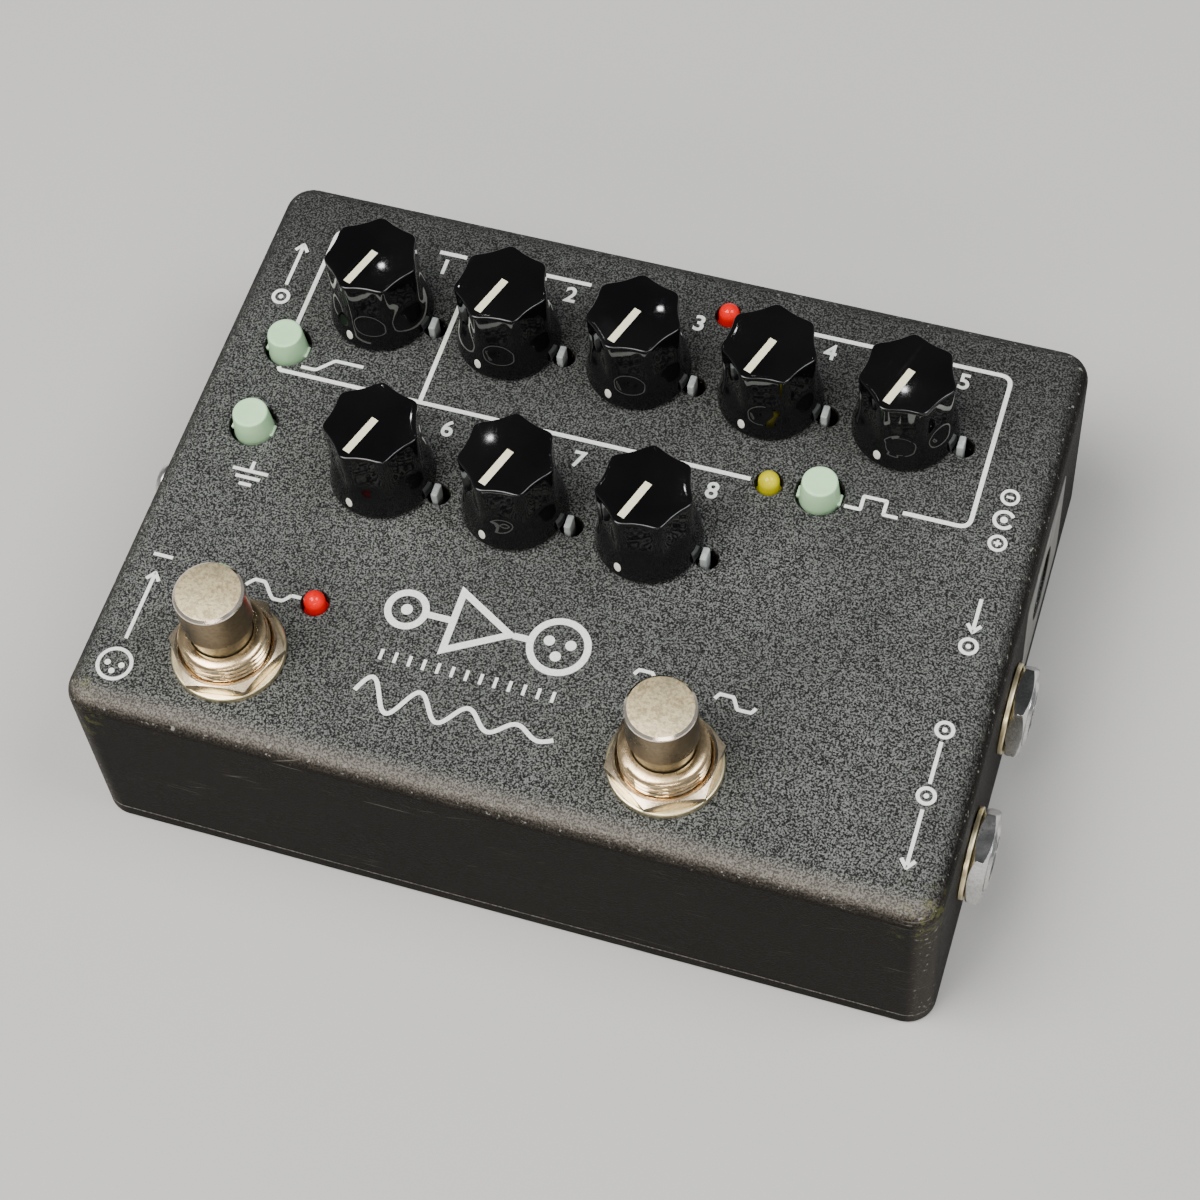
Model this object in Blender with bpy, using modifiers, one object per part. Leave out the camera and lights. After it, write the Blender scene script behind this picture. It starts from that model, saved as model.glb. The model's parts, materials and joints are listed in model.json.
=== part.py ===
"""Direct injection box: a die-cast floor box with eight knobs, three push buttons and two foot switches.

Metres, +Z up. The origin is the centre of the base plate's underside.
+X is the player's right and +Y the back.
"""

import math

import bmesh
import bpy
from mathutils import Matrix, Vector

MM = 0.001
TINY = 0.01 * MM  # under this, two points are one

# Clearances
GAP = 0.30 * MM  # between pieces that touch on the real box
SEAT = 0.15 * MM  # under the washers and nuts on the panel

# Enclosure and base plate
TOP_WIDTH = 120.0 * MM
TOP_DEPTH = 90.4 * MM
HEIGHT = 33.4 * MM
DRAFT = 0.0144  # how far a wall leans out, for each unit of height
WALL = 2.2 * MM
PANEL = 2.2 * MM
CORNER_RADIUS = 4.0 * MM
TOP_FILLET = 3.2 * MM
INNER_FILLET = 2.0 * MM
BASE_THICKNESS = 2.4 * MM
BASE_EDGE = 0.5 * MM
LIP_HEIGHT = 1.4 * MM
LIP_WIDTH = 1.2 * MM

# Corner bosses and the base plate's screws
BOSS_RADIUS = 4.2 * MM
BOSS_INSET = 6.0 * MM
SCREW_RADIUS = 1.35 * MM
SCREW_REACH = 9.5 * MM
SCREW_HEAD_RADIUS = 2.9 * MM
SCREW_HEAD_HEIGHT = 1.6 * MM
SCREW_SLOT_REACH = 0.62  # how far a cross slot reaches, as a share of the head's radius
SCREW_SLOT_WIDTH = 0.9 * MM
SCREW_SLOT_DEPTH = 0.7 * MM
SCREW_SUNK = 0.15 * MM

# Knobs: five in the upper row, three in the lower row between them
KNOB_PITCH = 19.15 * MM
UPPER_ROW_CENTRE = -0.5 * MM
UPPER_ROW_Y = 25.5 * MM
LOWER_ROW_Y = -0.9 * MM
UPPER_COUNT = 5
LOWER_COUNT = 3
KNOB_TOP = 13.0 * MM
KNOB_LIFT = 0.6 * MM
KNOB_SKIRT_RADIUS = 7.42 * MM
KNOB_RIDGE_RADIUS = 6.65 * MM
KNOB_WAIST_RADIUS = 6.45 * MM
KNOB_FLUTE_RADIUS = 6.0 * MM
KNOB_FLUTES = 7
KNOB_FLUTE_SHARPNESS = 1.4  # above 1, the ridges are narrow and the flutes wide
KNOB_WAIST_HEIGHT = 7.2 * MM
KNOB_FADE_HEIGHT = 4.2 * MM  # where the flutes have run out into the round skirt
KNOB_SKIRT_HEIGHT = 2.6 * MM
KNOB_EDGE = 0.4 * MM
POINTER_ANGLE = math.radians(-109.0)  # all the way down, in the panel's plane from +X

# Potentiometers under the knobs
POT_RADIUS = 8.2 * MM
SHAFT_RADIUS = 3.0 * MM
BUSHING_RADIUS = SHAFT_RADIUS + 0.5 * MM
BUSHING_TOP = 5.0 * MM
POT_NUT_FLATS = 2 * BUSHING_RADIUS + 3.0 * MM
POT_NUT_HEIGHT = 2.0 * MM
POT_NUT_ROOM = 0.45 * MM  # between a nut's corners and the hollow under its knob
SHAFT_TOP = 10.6 * MM
SHAFT_DEPTH = 5.0 * MM  # how far the shaft reaches into the can
TAB_OFFSET = (8.1 * MM, -1.0 * MM)
TAB_SIZE = (0.8 * MM, 2.1 * MM)
TAB_TOP = 1.3 * MM
TAB_HOLE_SHIFT = 0.3 * MM
TAB_HOLE_RADIUS = 1.5 * MM

# Circuit board, hung under the pots
BOARD_THICKNESS = 1.6 * MM
BOARD_TOP = 23.6 * MM
BOARD_MARGIN = 1.2 * MM
BOARD_FRONT = -23.9 * MM
BOARD_NOTCH = (-41.4 * MM, -3.6 * MM)  # clears the balanced output at the left

# Push buttons with their latching switches
BUTTONS = {
    "upper_left": (-49.9 * MM, 16.1 * MM),
    "lower_left": (-49.8 * MM, 2.2 * MM),
    "right": (29.3 * MM, 12.1 * MM),
}
BUTTON_HOLE_RADIUS = 3.3 * MM
BUTTON_TOP = 3.2 * MM
BUTTON_TOP_RADIUS = 2.45 * MM
BUTTON_BASE_RADIUS = 2.75 * MM
BUTTON_ROOT = 1.2 * MM  # how far the cap reaches below the panel's face
BUTTON_WING = (2.9 * MM, 0.9 * MM)
BUTTON_WING_HEIGHT = 0.6 * MM
BUTTON_EDGE = 0.3 * MM
BUTTON_TRAVEL = 2.0 * MM
STEM_RADIUS = 1.2 * MM
SWITCH_SIZE = 8.0 * MM
SWITCH_HEIGHT = 5.4 * MM

# Indicator lamps
LAMPS = {
    "rear_red": (9.2 * MM, 37.5 * MM),
    "yellow": (22.2 * MM, 11.9 * MM),
    "front_red": (-31.3 * MM, -22.6 * MM),
}
LAMP_RADIUS = 1.5 * MM
LAMP_HOLE_RADIUS = 1.85 * MM
LAMP_TOP = 2.0 * MM
LAMP_FLANGE_RADIUS = 1.9 * MM
LAMP_FLANGE_HEIGHT = 1.0 * MM
LAMP_LENGTH = 5.3 * MM
LAMP_LEAD = 0.5 * MM
LAMP_LEAD_PITCH = 1.9 * MM
LAMP_DOME_STEPS = 3

# Foot switches: where each stands, and how far its nut has been turned
FOOT_SWITCHES = {
    "left": ((-39.7 * MM, -32.8 * MM), math.radians(-21.6)),
    "right": ((21.0 * MM, -33.0 * MM), math.radians(-3.0)),
}
FOOT_BODY = 16.0 * MM
FOOT_BODY_HEIGHT = 15.0 * MM
FOOT_LUG = (2.2 * MM, 0.8 * MM, 3.2 * MM)
FOOT_LUG_PITCH = 4.8 * MM
FOOT_THREAD_RADIUS = 6.0 * MM
FOOT_RIM_RADIUS = FOOT_THREAD_RADIUS - 1.05 * MM
FOOT_RIM_TOP = 6.0 * MM
FOOT_CHAMFER_START = 4.5 * MM
FOOT_CAP_RADIUS = 4.7 * MM
FOOT_CAP_TOP = 16.0 * MM
FOOT_CAP_HEIGHT = 7.0 * MM
FOOT_CAP_CHAMFER = 0.4 * MM
FOOT_STEM_RADIUS = FOOT_RIM_RADIUS - 0.85 * MM
FOOT_STEM_DEPTH = 6.0 * MM  # how far the stem reaches below the panel's face
FOOT_TRAVEL = 2.5 * MM
FOOT_NUT_FLATS = 2 * FOOT_THREAD_RADIUS + 1.8 * MM
FOOT_NUT_HEIGHT = 2.0 * MM
FOOT_WASHER_RADIUS = FOOT_THREAD_RADIUS + 1.75 * MM
FOOT_WASHER_HEIGHT = 0.8 * MM

# Quarter-inch jacks: where each one's axis leaves its wall (side, y)
JACKS = {
    "input": (1, -3.5 * MM),
    "parallel_output": (1, -26.0 * MM),
    "output": (-1, 28.2 * MM),
}
JACK_Z = 15.5 * MM
JACK_BODY = (12.0 * MM, 12.6 * MM, 23.0 * MM)
JACK_THREAD_RADIUS = 4.7 * MM
JACK_BORE_RADIUS = 3.25 * MM
JACK_BORE_DEPTH = 25.9 * MM
JACK_PROUD = 3.5 * MM
JACK_THREAD_EDGE = 0.3 * MM
JACK_NUT_FLATS = 2 * JACK_THREAD_RADIUS + 3.0 * MM
JACK_NUT_HEIGHT = 2.2 * MM
JACK_NUT_TURN = math.radians(3.0)  # a flat points almost straight up
JACK_NUT_STANDOFF = 0.85 * MM  # room for a flat washer under the nut

# Balanced output socket in the left wall
XLR_Y = -15.5 * MM
XLR_Z = 17.0 * MM
XLR_BARREL_RADIUS = 9.7 * MM
XLR_BORE_RADIUS = 8.0 * MM
XLR_BORE_DEPTH = 14.5 * MM
XLR_BARREL_DEPTH = 11.5 * MM
XLR_REAR_RADIUS = 8.8 * MM
XLR_REAR_DEPTH = 18.0 * MM
XLR_PROUD = 0.5 * MM
XLR_FLANGE = (25.0 * MM, 22.0 * MM, 2.0 * MM)
XLR_PIN_RADIUS = 1.2 * MM
XLR_PIN_LENGTH = 9.0 * MM
XLR_PIN_CIRCLE = 4.6 * MM
XLR_SCREW_OFFSET = (10.0 * MM, 9.0 * MM)
XLR_SCREW_RADIUS = 1.3 * MM
XLR_SCREW_HEAD_RADIUS = 2.7 * MM
XLR_SCREW_HEAD = 1.6 * MM
XLR_SCREW_SHOULDER = 0.8 * MM  # the straight side of the head, below its crown
XLR_SCREW_LENGTH = 6.0 * MM

# Power socket in the right wall
POWER_Y = 17.0 * MM
POWER_Z = 15.5 * MM
POWER_BODY = (10.0 * MM, 9.6 * MM, 12.0 * MM)
POWER_NOSE_RADIUS = 4.6 * MM
POWER_BORE_RADIUS = 3.1 * MM
POWER_PIN_RADIUS = 1.0 * MM
POWER_BORE_DEPTH = 9.5 * MM

# Battery, lying on the base plate between the foot switches, and its snap
BATTERY = (26.5 * MM, 45.5 * MM, 17.0 * MM)
BATTERY_CORNER = (-22.4 * MM, -41.2 * MM)
BATTERY_EDGE = 1.5 * MM
STUD_RADIUS = 2.8 * MM
STUD_LENGTH = 2.6 * MM
STUD_PITCH = 12.7 * MM
LEAD_STEPS = 8
SNAP = (25.0 * MM, 4.0 * MM, 12.6 * MM)
LEAD_RADIUS = 0.65 * MM
LEAD_RISE = 6.0 * MM

# Nuts: how far each face's flat circle stands past the flats, and the rise of the corner's chamfer
NUT_CROWN = 0.15 * MM
NUT_CHAMFER_SLOPE = 0.58

# Sides of the round solids, by how large they are
SMALL_SIDES = 12
MEDIUM_SIDES = 16
LARGE_SIDES = 24

PANEL_UNDER = HEIGHT - PANEL
SEAM = BASE_THICKNESS + GAP

# Colours: name, base colour, roughness, metallic
FINISHES = {
    "black_powder_coat": ((0.022, 0.022, 0.024), 0.62, 0.0),
    "black_gloss": ((0.008, 0.008, 0.009), 0.12, 0.0),
    "black_plastic": ((0.02, 0.02, 0.02), 0.45, 0.0),
    "pot_metal": ((0.46, 0.45, 0.42), 0.38, 1.0),
    "shaft_metal": ((0.60, 0.58, 0.54), 0.30, 1.0),
    "zinc_screw": ((0.16, 0.16, 0.17), 0.35, 1.0),
    "chrome": ((0.72, 0.72, 0.73), 0.12, 1.0),
    "nickel": ((0.66, 0.62, 0.53), 0.26, 1.0),
    "worn_nickel": ((0.42, 0.38, 0.34), 0.38, 1.0),
    "mint": ((0.52, 0.68, 0.54), 0.42, 0.0),
    "switch_grey": ((0.30, 0.32, 0.33), 0.5, 0.0),
    "red_lamp": ((0.80, 0.02, 0.02), 0.18, 0.0),
    "yellow_lamp": ((0.78, 0.62, 0.03), 0.18, 0.0),
    "board_green": ((0.02, 0.12, 0.05), 0.4, 0.0),
    "battery_shell": ((0.05, 0.09, 0.18), 0.4, 0.0),
}


def clear_scene():
    for obj in list(bpy.data.objects):
        bpy.data.objects.remove(obj, do_unlink=True)


def make_collection(name):
    collection = bpy.data.collections.new(name)
    bpy.context.scene.collection.children.link(collection)
    return collection


clear_scene()
PARTS = make_collection("direct_injection_box")
CUTTERS = make_collection("cutters")


def finish(name):
    """The material of this finish, made the first time it is asked for."""
    material = bpy.data.materials.get(name)
    if material is None:
        colour, roughness, metallic = FINISHES[name]
        material = bpy.data.materials.new(name)
        material.use_nodes = True
        material.diffuse_color = (*colour, 1.0)
        shader = material.node_tree.nodes["Principled BSDF"]
        shader.inputs["Base Color"].default_value = (*colour, 1.0)
        shader.inputs["Roughness"].default_value = roughness
        shader.inputs["Metallic"].default_value = metallic
    return material


def half_width(z):
    return TOP_WIDTH / 2 + DRAFT * (HEIGHT - z)


def half_depth(z):
    return TOP_DEPTH / 2 + DRAFT * (HEIGHT - z)


# Building blocks: each returns a mesh


def mesh_of(name, build):
    """A mesh from a function that fills a bmesh."""
    bm = bmesh.new()
    build(bm)
    bmesh.ops.recalc_face_normals(bm, faces=bm.faces)
    mesh = bpy.data.meshes.new(name)
    bm.to_mesh(mesh)
    bm.free()
    return mesh


def add_block(bm, low, high):
    low, high = Vector(low), Vector(high)
    size = high - low
    place = Matrix.Translation((low + high) / 2) @ Matrix.Diagonal((*size, 1.0))
    return bmesh.ops.create_cube(bm, size=1.0, matrix=place)["verts"]


def add_rod(bm, radius, bottom, top, x=0.0, y=0.0, top_radius=None, segments=MEDIUM_SIDES, turn=0.0):
    place = Matrix.Translation((x, y, (bottom + top) / 2)) @ Matrix.Rotation(turn, 4, "Z")
    return bmesh.ops.create_cone(
        bm,
        cap_ends=True,
        segments=segments,
        radius1=radius,
        radius2=radius if top_radius is None else top_radius,
        depth=top - bottom,
        matrix=place,
    )["verts"]


def block(low, high):
    return mesh_of("block", lambda bm: add_block(bm, low, high))


def rod(radius, bottom, top, **options):
    return mesh_of("rod", lambda bm: add_rod(bm, radius, bottom, top, **options))


def several(*meshes):
    """One mesh that holds several separate bodies, for a single Boolean."""

    def build(bm):
        for mesh in meshes:
            bm.from_mesh(mesh)

    return mesh_of("several", build)


def turned(profile, steps=MEDIUM_SIDES):
    """A turned solid. The profile runs from the top of the axis down its outer side to the bottom."""
    mesh = bpy.data.meshes.new("profile")
    edges = [(i, i + 1) for i in range(len(profile) - 1)]
    mesh.from_pydata([(radius, 0.0, z) for radius, z in profile], edges, [])
    obj = bpy.data.objects.new("profile", mesh)
    CUTTERS.objects.link(obj)
    screw = obj.modifiers.new("turn", "SCREW")
    screw.steps = steps
    screw.render_steps = steps
    screw.use_merge_vertices = True
    screw.merge_threshold = TINY
    return baked(obj)


def baked(obj):
    """The object's mesh with its modifiers applied; the object itself is removed."""
    bpy.context.view_layer.update()
    graph = bpy.context.evaluated_depsgraph_get()
    mesh = bpy.data.meshes.new_from_object(obj.evaluated_get(graph))
    bpy.data.objects.remove(obj, do_unlink=True)
    return mesh


def add_boolean(obj, operation, mesh, label):
    cutter = bpy.data.objects.new(f"{obj.name}_{label}", mesh)
    cutter.hide_render = True
    cutter.display_type = "WIRE"
    CUTTERS.objects.link(cutter)
    modifier = obj.modifiers.new(label, "BOOLEAN")
    modifier.operation = operation
    modifier.object = cutter
    return cutter


def joined(mesh, *steps):
    """The mesh after each (operation, mesh) step, as one solid."""
    obj = bpy.data.objects.new("work", mesh)
    CUTTERS.objects.link(obj)
    cutters = [
        add_boolean(obj, operation, other, f"step_{count}")
        for count, (operation, other) in enumerate(steps)
    ]
    result = baked(obj)
    for cutter in cutters:
        bpy.data.objects.remove(cutter, do_unlink=True)
    return result


def place(name, mesh, material, location=(0.0, 0.0, 0.0), rotation=(0.0, 0.0, 0.0), smooth=True):
    """Adds a piece to the assembly."""
    mesh.materials.clear()
    mesh.materials.append(finish(material))
    if smooth:
        mesh.shade_smooth()
        mesh.set_sharp_from_angle(angle=math.radians(32.0))
    obj = bpy.data.objects.new(name, mesh)
    obj.location = location
    obj.rotation_euler = rotation
    PARTS.objects.link(obj)
    return obj


def on_wall(side, y, z):
    """Location and rotation that point a piece's own +Z out of a side wall, from its outer face."""
    return (side * half_width(z), y, z), (0.0, side * math.pi / 2, 0.0)


def hexagon(flats, bottom, top, hole_radius, turn=0.0):
    """A hexagonal nut with its corners chamfered at both faces."""
    corner = flats / math.sqrt(3.0)
    crown = flats / 2 + NUT_CROWN
    chamfer = (corner - crown) * NUT_CHAMFER_SLOPE
    prism = rod(corner, bottom, top, segments=6, turn=turn)
    barrel = turned(
        [
            (0.0, top),
            (crown, top),
            (corner, top - chamfer),
            (corner, bottom + chamfer),
            (crown, bottom),
            (0.0, bottom),
        ],
        steps=LARGE_SIDES,
    )
    bore = rod(hole_radius, bottom - MM, top + MM)
    return joined(prism, ("INTERSECT", barrel), ("DIFFERENCE", bore))


# Enclosure and base plate


def rounded_shell(name, bottom, top, inset, corner, fillet):
    """A drafted box with rounded corners; only its top edge has a fillet."""

    def build(bm):
        verts = add_block(bm, (-1.0, -1.0, bottom), (1.0, 1.0, top))
        for vert in verts:
            z = vert.co.z
            vert.co.x = math.copysign(half_width(z) - inset, vert.co.x)
            vert.co.y = math.copysign(half_depth(z) - inset, vert.co.y)
        middle = (bottom + top) / 2
        upright = [e for e in bm.edges if (e.verts[0].co.z - middle) * (e.verts[1].co.z - middle) < 0]
        bmesh.ops.bevel(bm, geom=upright, offset=corner, segments=4, affect="EDGES", profile=0.5)
        if fillet:
            rim = [e for e in bm.edges if min(v.co.z for v in e.verts) > top - TINY]
            bmesh.ops.bevel(bm, geom=rim, offset=fillet, segments=3, affect="EDGES", profile=0.5)

    return mesh_of(name, build)


def boss_places():
    x = TOP_WIDTH / 2 - BOSS_INSET
    y = TOP_DEPTH / 2 - BOSS_INSET
    return [(side * x, end * y) for side in (-1, 1) for end in (-1, 1)]


def knob_places():
    first = UPPER_ROW_CENTRE - KNOB_PITCH * (UPPER_COUNT - 1) / 2
    places = {}
    for count in range(UPPER_COUNT):
        places[f"upper_{count + 1}"] = (first + KNOB_PITCH * count, UPPER_ROW_Y)
    for count in range(LOWER_COUNT):
        places[f"lower_{count + 1}"] = (first + KNOB_PITCH * (count + 0.5), LOWER_ROW_Y)
    return places


def panel_holes():
    """Everything that is drilled through the top panel."""
    low = PANEL_UNDER - MM
    high = HEIGHT + MM
    holes = []
    for x, y in knob_places().values():
        holes.append(rod(BUSHING_RADIUS + GAP, low, high, x=x, y=y, segments=SMALL_SIDES))
        tab_x = x + TAB_OFFSET[0] + TAB_HOLE_SHIFT
        holes.append(rod(TAB_HOLE_RADIUS, low, high, x=tab_x, y=y + TAB_OFFSET[1], segments=SMALL_SIDES))
    for x, y in BUTTONS.values():
        holes.append(rod(BUTTON_HOLE_RADIUS, low, high, x=x, y=y))
    for x, y in LAMPS.values():
        holes.append(rod(LAMP_HOLE_RADIUS, low, high, x=x, y=y, segments=SMALL_SIDES))
    for (x, y), _ in FOOT_SWITCHES.values():
        holes.append(rod(FOOT_THREAD_RADIUS + GAP, low, high, x=x, y=y))
    return several(*holes)


def wall_hole(side, y, z, radius, segments=MEDIUM_SIDES):
    location, rotation = on_wall(side, y, z)
    turn = Matrix.Rotation(rotation[1], 4, "Y")
    hole = rod(radius, -WALL - MM, MM, segments=segments)
    hole.transform(Matrix.Translation(location) @ turn)
    return hole


def wall_holes():
    """Everything that is drilled through the two side walls."""
    holes = [wall_hole(side, y, JACK_Z, JACK_THREAD_RADIUS + GAP) for side, y in JACKS.values()]
    holes.append(wall_hole(-1, XLR_Y, XLR_Z, XLR_BARREL_RADIUS + GAP, LARGE_SIDES))
    for y, z in xlr_screw_places():
        holes.append(wall_hole(-1, y, z, XLR_SCREW_RADIUS + GAP, segments=SMALL_SIDES))
    holes.append(wall_hole(1, POWER_Y, POWER_Z, POWER_NOSE_RADIUS + GAP))
    return several(*holes)


def make_enclosure():
    outer = rounded_shell("enclosure", SEAM, HEIGHT, 0.0, CORNER_RADIUS, TOP_FILLET)
    cavity_corner = CORNER_RADIUS - WALL / 2
    cavity = rounded_shell("cavity", SEAM - MM, PANEL_UNDER, WALL, cavity_corner, INNER_FILLET)
    bosses = several(
        *[rod(BOSS_RADIUS, SEAM, PANEL_UNDER + PANEL / 2, x=x, y=y) for x, y in boss_places()]
    )
    pilot_top = BASE_THICKNESS + SCREW_REACH + GAP
    pilot_radius = SCREW_RADIUS + GAP
    pilots = several(
        *[rod(pilot_radius, SEAM - MM, pilot_top, x=x, y=y, segments=SMALL_SIDES) for x, y in boss_places()]
    )
    enclosure = place("enclosure", outer, "black_powder_coat")
    add_boolean(enclosure, "DIFFERENCE", cavity, "cavity")
    add_boolean(enclosure, "UNION", bosses, "bosses")
    add_boolean(enclosure, "DIFFERENCE", pilots, "pilots")
    add_boolean(enclosure, "DIFFERENCE", panel_holes(), "panel_holes")
    add_boolean(enclosure, "DIFFERENCE", wall_holes(), "wall_holes")


def base_lip():
    """Four low ribs on the plate that centre it inside the walls, clear of the corner bosses."""
    x = half_width(0.0) - WALL - GAP * 2
    y = half_depth(0.0) - WALL - GAP * 2
    run_x = TOP_WIDTH / 2 - BOSS_INSET - BOSS_RADIUS - MM
    run_y = TOP_DEPTH / 2 - BOSS_INSET - BOSS_RADIUS - MM
    low = BASE_THICKNESS / 2
    high = BASE_THICKNESS + LIP_HEIGHT
    ribs = []
    for side in (-1, 1):
        across = sorted((side * y, side * (y - LIP_WIDTH)))
        ribs.append(block((-run_x, across[0], low), (run_x, across[1], high)))
        across = sorted((side * x, side * (x - LIP_WIDTH)))
        ribs.append(block((across[0], -run_y, low), (across[1], run_y, high)))
    return several(*ribs)


def make_base_plate():
    plate = rounded_shell("base_plate", 0.0, BASE_THICKNESS, 0.0, CORNER_RADIUS, 0.0)

    def soften(bm):
        bm.from_mesh(plate)
        rim = [e for e in bm.edges if max(v.co.z for v in e.verts) < TINY]
        bmesh.ops.bevel(bm, geom=rim, offset=BASE_EDGE, segments=2, affect="EDGES", profile=0.5)

    holes = []
    for x, y in boss_places():
        hole_radius = SCREW_RADIUS + GAP
        head_top = SCREW_SUNK + SCREW_HEAD_HEIGHT + GAP
        holes.append(rod(hole_radius, -MM, BASE_THICKNESS + MM, x=x, y=y, segments=SMALL_SIDES))
        holes.append(
            rod(
                SCREW_HEAD_RADIUS + GAP,
                -TINY,
                head_top,
                x=x,
                y=y,
                top_radius=hole_radius,
                segments=SMALL_SIDES,
            )
        )
    base = place("base_plate", mesh_of("base_plate", soften), "black_powder_coat")
    add_boolean(base, "UNION", base_lip(), "lip")
    add_boolean(base, "DIFFERENCE", several(*holes[0::2]), "screw_holes")
    add_boolean(base, "DIFFERENCE", several(*holes[1::2]), "countersinks")


def make_base_screws():
    head_top = SCREW_SUNK + SCREW_HEAD_HEIGHT
    screw = turned(
        [
            (0.0, BASE_THICKNESS + SCREW_REACH),
            (SCREW_RADIUS, BASE_THICKNESS + SCREW_REACH),
            (SCREW_RADIUS, head_top),
            (SCREW_HEAD_RADIUS, SCREW_SUNK),
            (0.0, SCREW_SUNK),
        ],
        steps=SMALL_SIDES,
    )
    arm = SCREW_HEAD_RADIUS * SCREW_SLOT_REACH
    half = SCREW_SLOT_WIDTH / 2
    deep = SCREW_SUNK + SCREW_SLOT_DEPTH
    one = block((-arm, -half, -MM), (arm, half, deep))
    other = block((-half, -arm, -MM), (half, arm, deep))
    screw = joined(screw, ("DIFFERENCE", one), ("DIFFERENCE", other))
    for count, (x, y) in enumerate(boss_places()):
        place(f"base_screw_{count + 1}", screw, "zinc_screw", (x, y, 0.0))


# Knobs, their shafts and the potentiometers


def fluted_ring(ridge, valley, z, per_flute=3):
    """A ring of points whose radius swings between a ridge and a valley; a ridge lies at angle 0."""
    points = []
    total = KNOB_FLUTES * per_flute
    for count in range(total):
        angle = 2 * math.pi * count / total
        lift = (1 + math.cos(KNOB_FLUTES * angle)) / 2
        radius = valley + (ridge - valley) * lift**KNOB_FLUTE_SHARPNESS
        points.append((radius * math.cos(angle), radius * math.sin(angle), z))
    return points


def loft(name, rings):
    """A closed solid through rings with as many points each; the first and last ring are capped."""

    def build(bm):
        levels = [[bm.verts.new(point) for point in ring] for ring in rings]
        for upper, lower in zip(levels, levels[1:]):
            for i in range(len(upper)):
                j = (i + 1) % len(upper)
                bm.faces.new((upper[i], upper[j], lower[j], lower[i]))
        bm.faces.new(levels[0])
        bm.faces.new(levels[-1])

    return mesh_of(name, build)


def knob_mesh():
    """A fluted grip over a round skirt, hollow for the nut and the bushing, and bored for the shaft."""
    nut_room = POT_NUT_FLATS / math.sqrt(3.0) + POT_NUT_ROOM
    nut_top = SEAT + POT_NUT_HEIGHT + GAP
    bushing_room = BUSHING_RADIUS + 2 * GAP
    bushing_top = BUSHING_TOP + GAP
    socket = SHAFT_RADIUS + GAP
    rounds = [
        (KNOB_RIDGE_RADIUS - KNOB_EDGE, KNOB_FLUTE_RADIUS - KNOB_EDGE, KNOB_TOP),
        (KNOB_RIDGE_RADIUS, KNOB_FLUTE_RADIUS, KNOB_TOP - KNOB_EDGE),
        (KNOB_WAIST_RADIUS, KNOB_FLUTE_RADIUS + KNOB_EDGE / 2, KNOB_WAIST_HEIGHT),
        (KNOB_WAIST_RADIUS + KNOB_EDGE / 2, KNOB_WAIST_RADIUS, KNOB_FADE_HEIGHT),
        (KNOB_SKIRT_RADIUS - KNOB_EDGE, KNOB_SKIRT_RADIUS - KNOB_EDGE, KNOB_SKIRT_HEIGHT),
        (KNOB_SKIRT_RADIUS, KNOB_SKIRT_RADIUS, KNOB_LIFT + KNOB_EDGE),
        (KNOB_SKIRT_RADIUS - KNOB_EDGE, KNOB_SKIRT_RADIUS - KNOB_EDGE, KNOB_LIFT),
        (nut_room, nut_room, KNOB_LIFT),
        (nut_room, nut_room, nut_top),
        (bushing_room, bushing_room, nut_top),
        (bushing_room, bushing_room, bushing_top),
        (socket, socket, bushing_top),
        (socket, socket, SHAFT_TOP + GAP),
    ]
    return loft("knob", [fluted_ring(ridge, valley, z) for ridge, valley, z in rounds])


def pot_mesh():
    """The can, its threaded bushing with the nut on it, and the tab that stops it turning."""
    can_top = PANEL_UNDER - GAP - HEIGHT
    can_bottom = BOARD_TOP + GAP - HEIGHT
    can = rod(POT_RADIUS, can_bottom, can_top, segments=LARGE_SIDES)
    bushing = rod(BUSHING_RADIUS, can_top - MM, BUSHING_TOP, segments=SMALL_SIDES)
    nut_corner = POT_NUT_FLATS / math.sqrt(3.0)
    nut = rod(nut_corner, SEAT, SEAT + POT_NUT_HEIGHT, segments=6)
    half_x, half_y = TAB_SIZE[0] / 2, TAB_SIZE[1] / 2
    low = (TAB_OFFSET[0] - half_x, TAB_OFFSET[1] - half_y, can_top - MM)
    high = (TAB_OFFSET[0] + half_x, TAB_OFFSET[1] + half_y, TAB_TOP)
    tab = block(low, high)
    shaft_floor = can_top - SHAFT_DEPTH - GAP
    bore = rod(SHAFT_RADIUS + GAP, shaft_floor, BUSHING_TOP + MM, segments=SMALL_SIDES)
    return joined(can, ("UNION", bushing), ("UNION", nut), ("UNION", tab), ("DIFFERENCE", bore))


def make_knobs():
    knob = knob_mesh()
    pot = pot_mesh()
    shaft_bottom = PANEL_UNDER - GAP - HEIGHT - SHAFT_DEPTH
    shaft = rod(SHAFT_RADIUS, shaft_bottom, SHAFT_TOP, segments=SMALL_SIDES)
    for name, (x, y) in knob_places().items():
        spot = (x, y, HEIGHT)
        place(f"pot_{name}", pot, "pot_metal", spot)
        place(f"shaft_{name}", shaft, "shaft_metal", spot)
        place(f"knob_{name}", knob, "black_gloss", spot, (0.0, 0.0, POINTER_ANGLE))


# Circuit board


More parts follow.
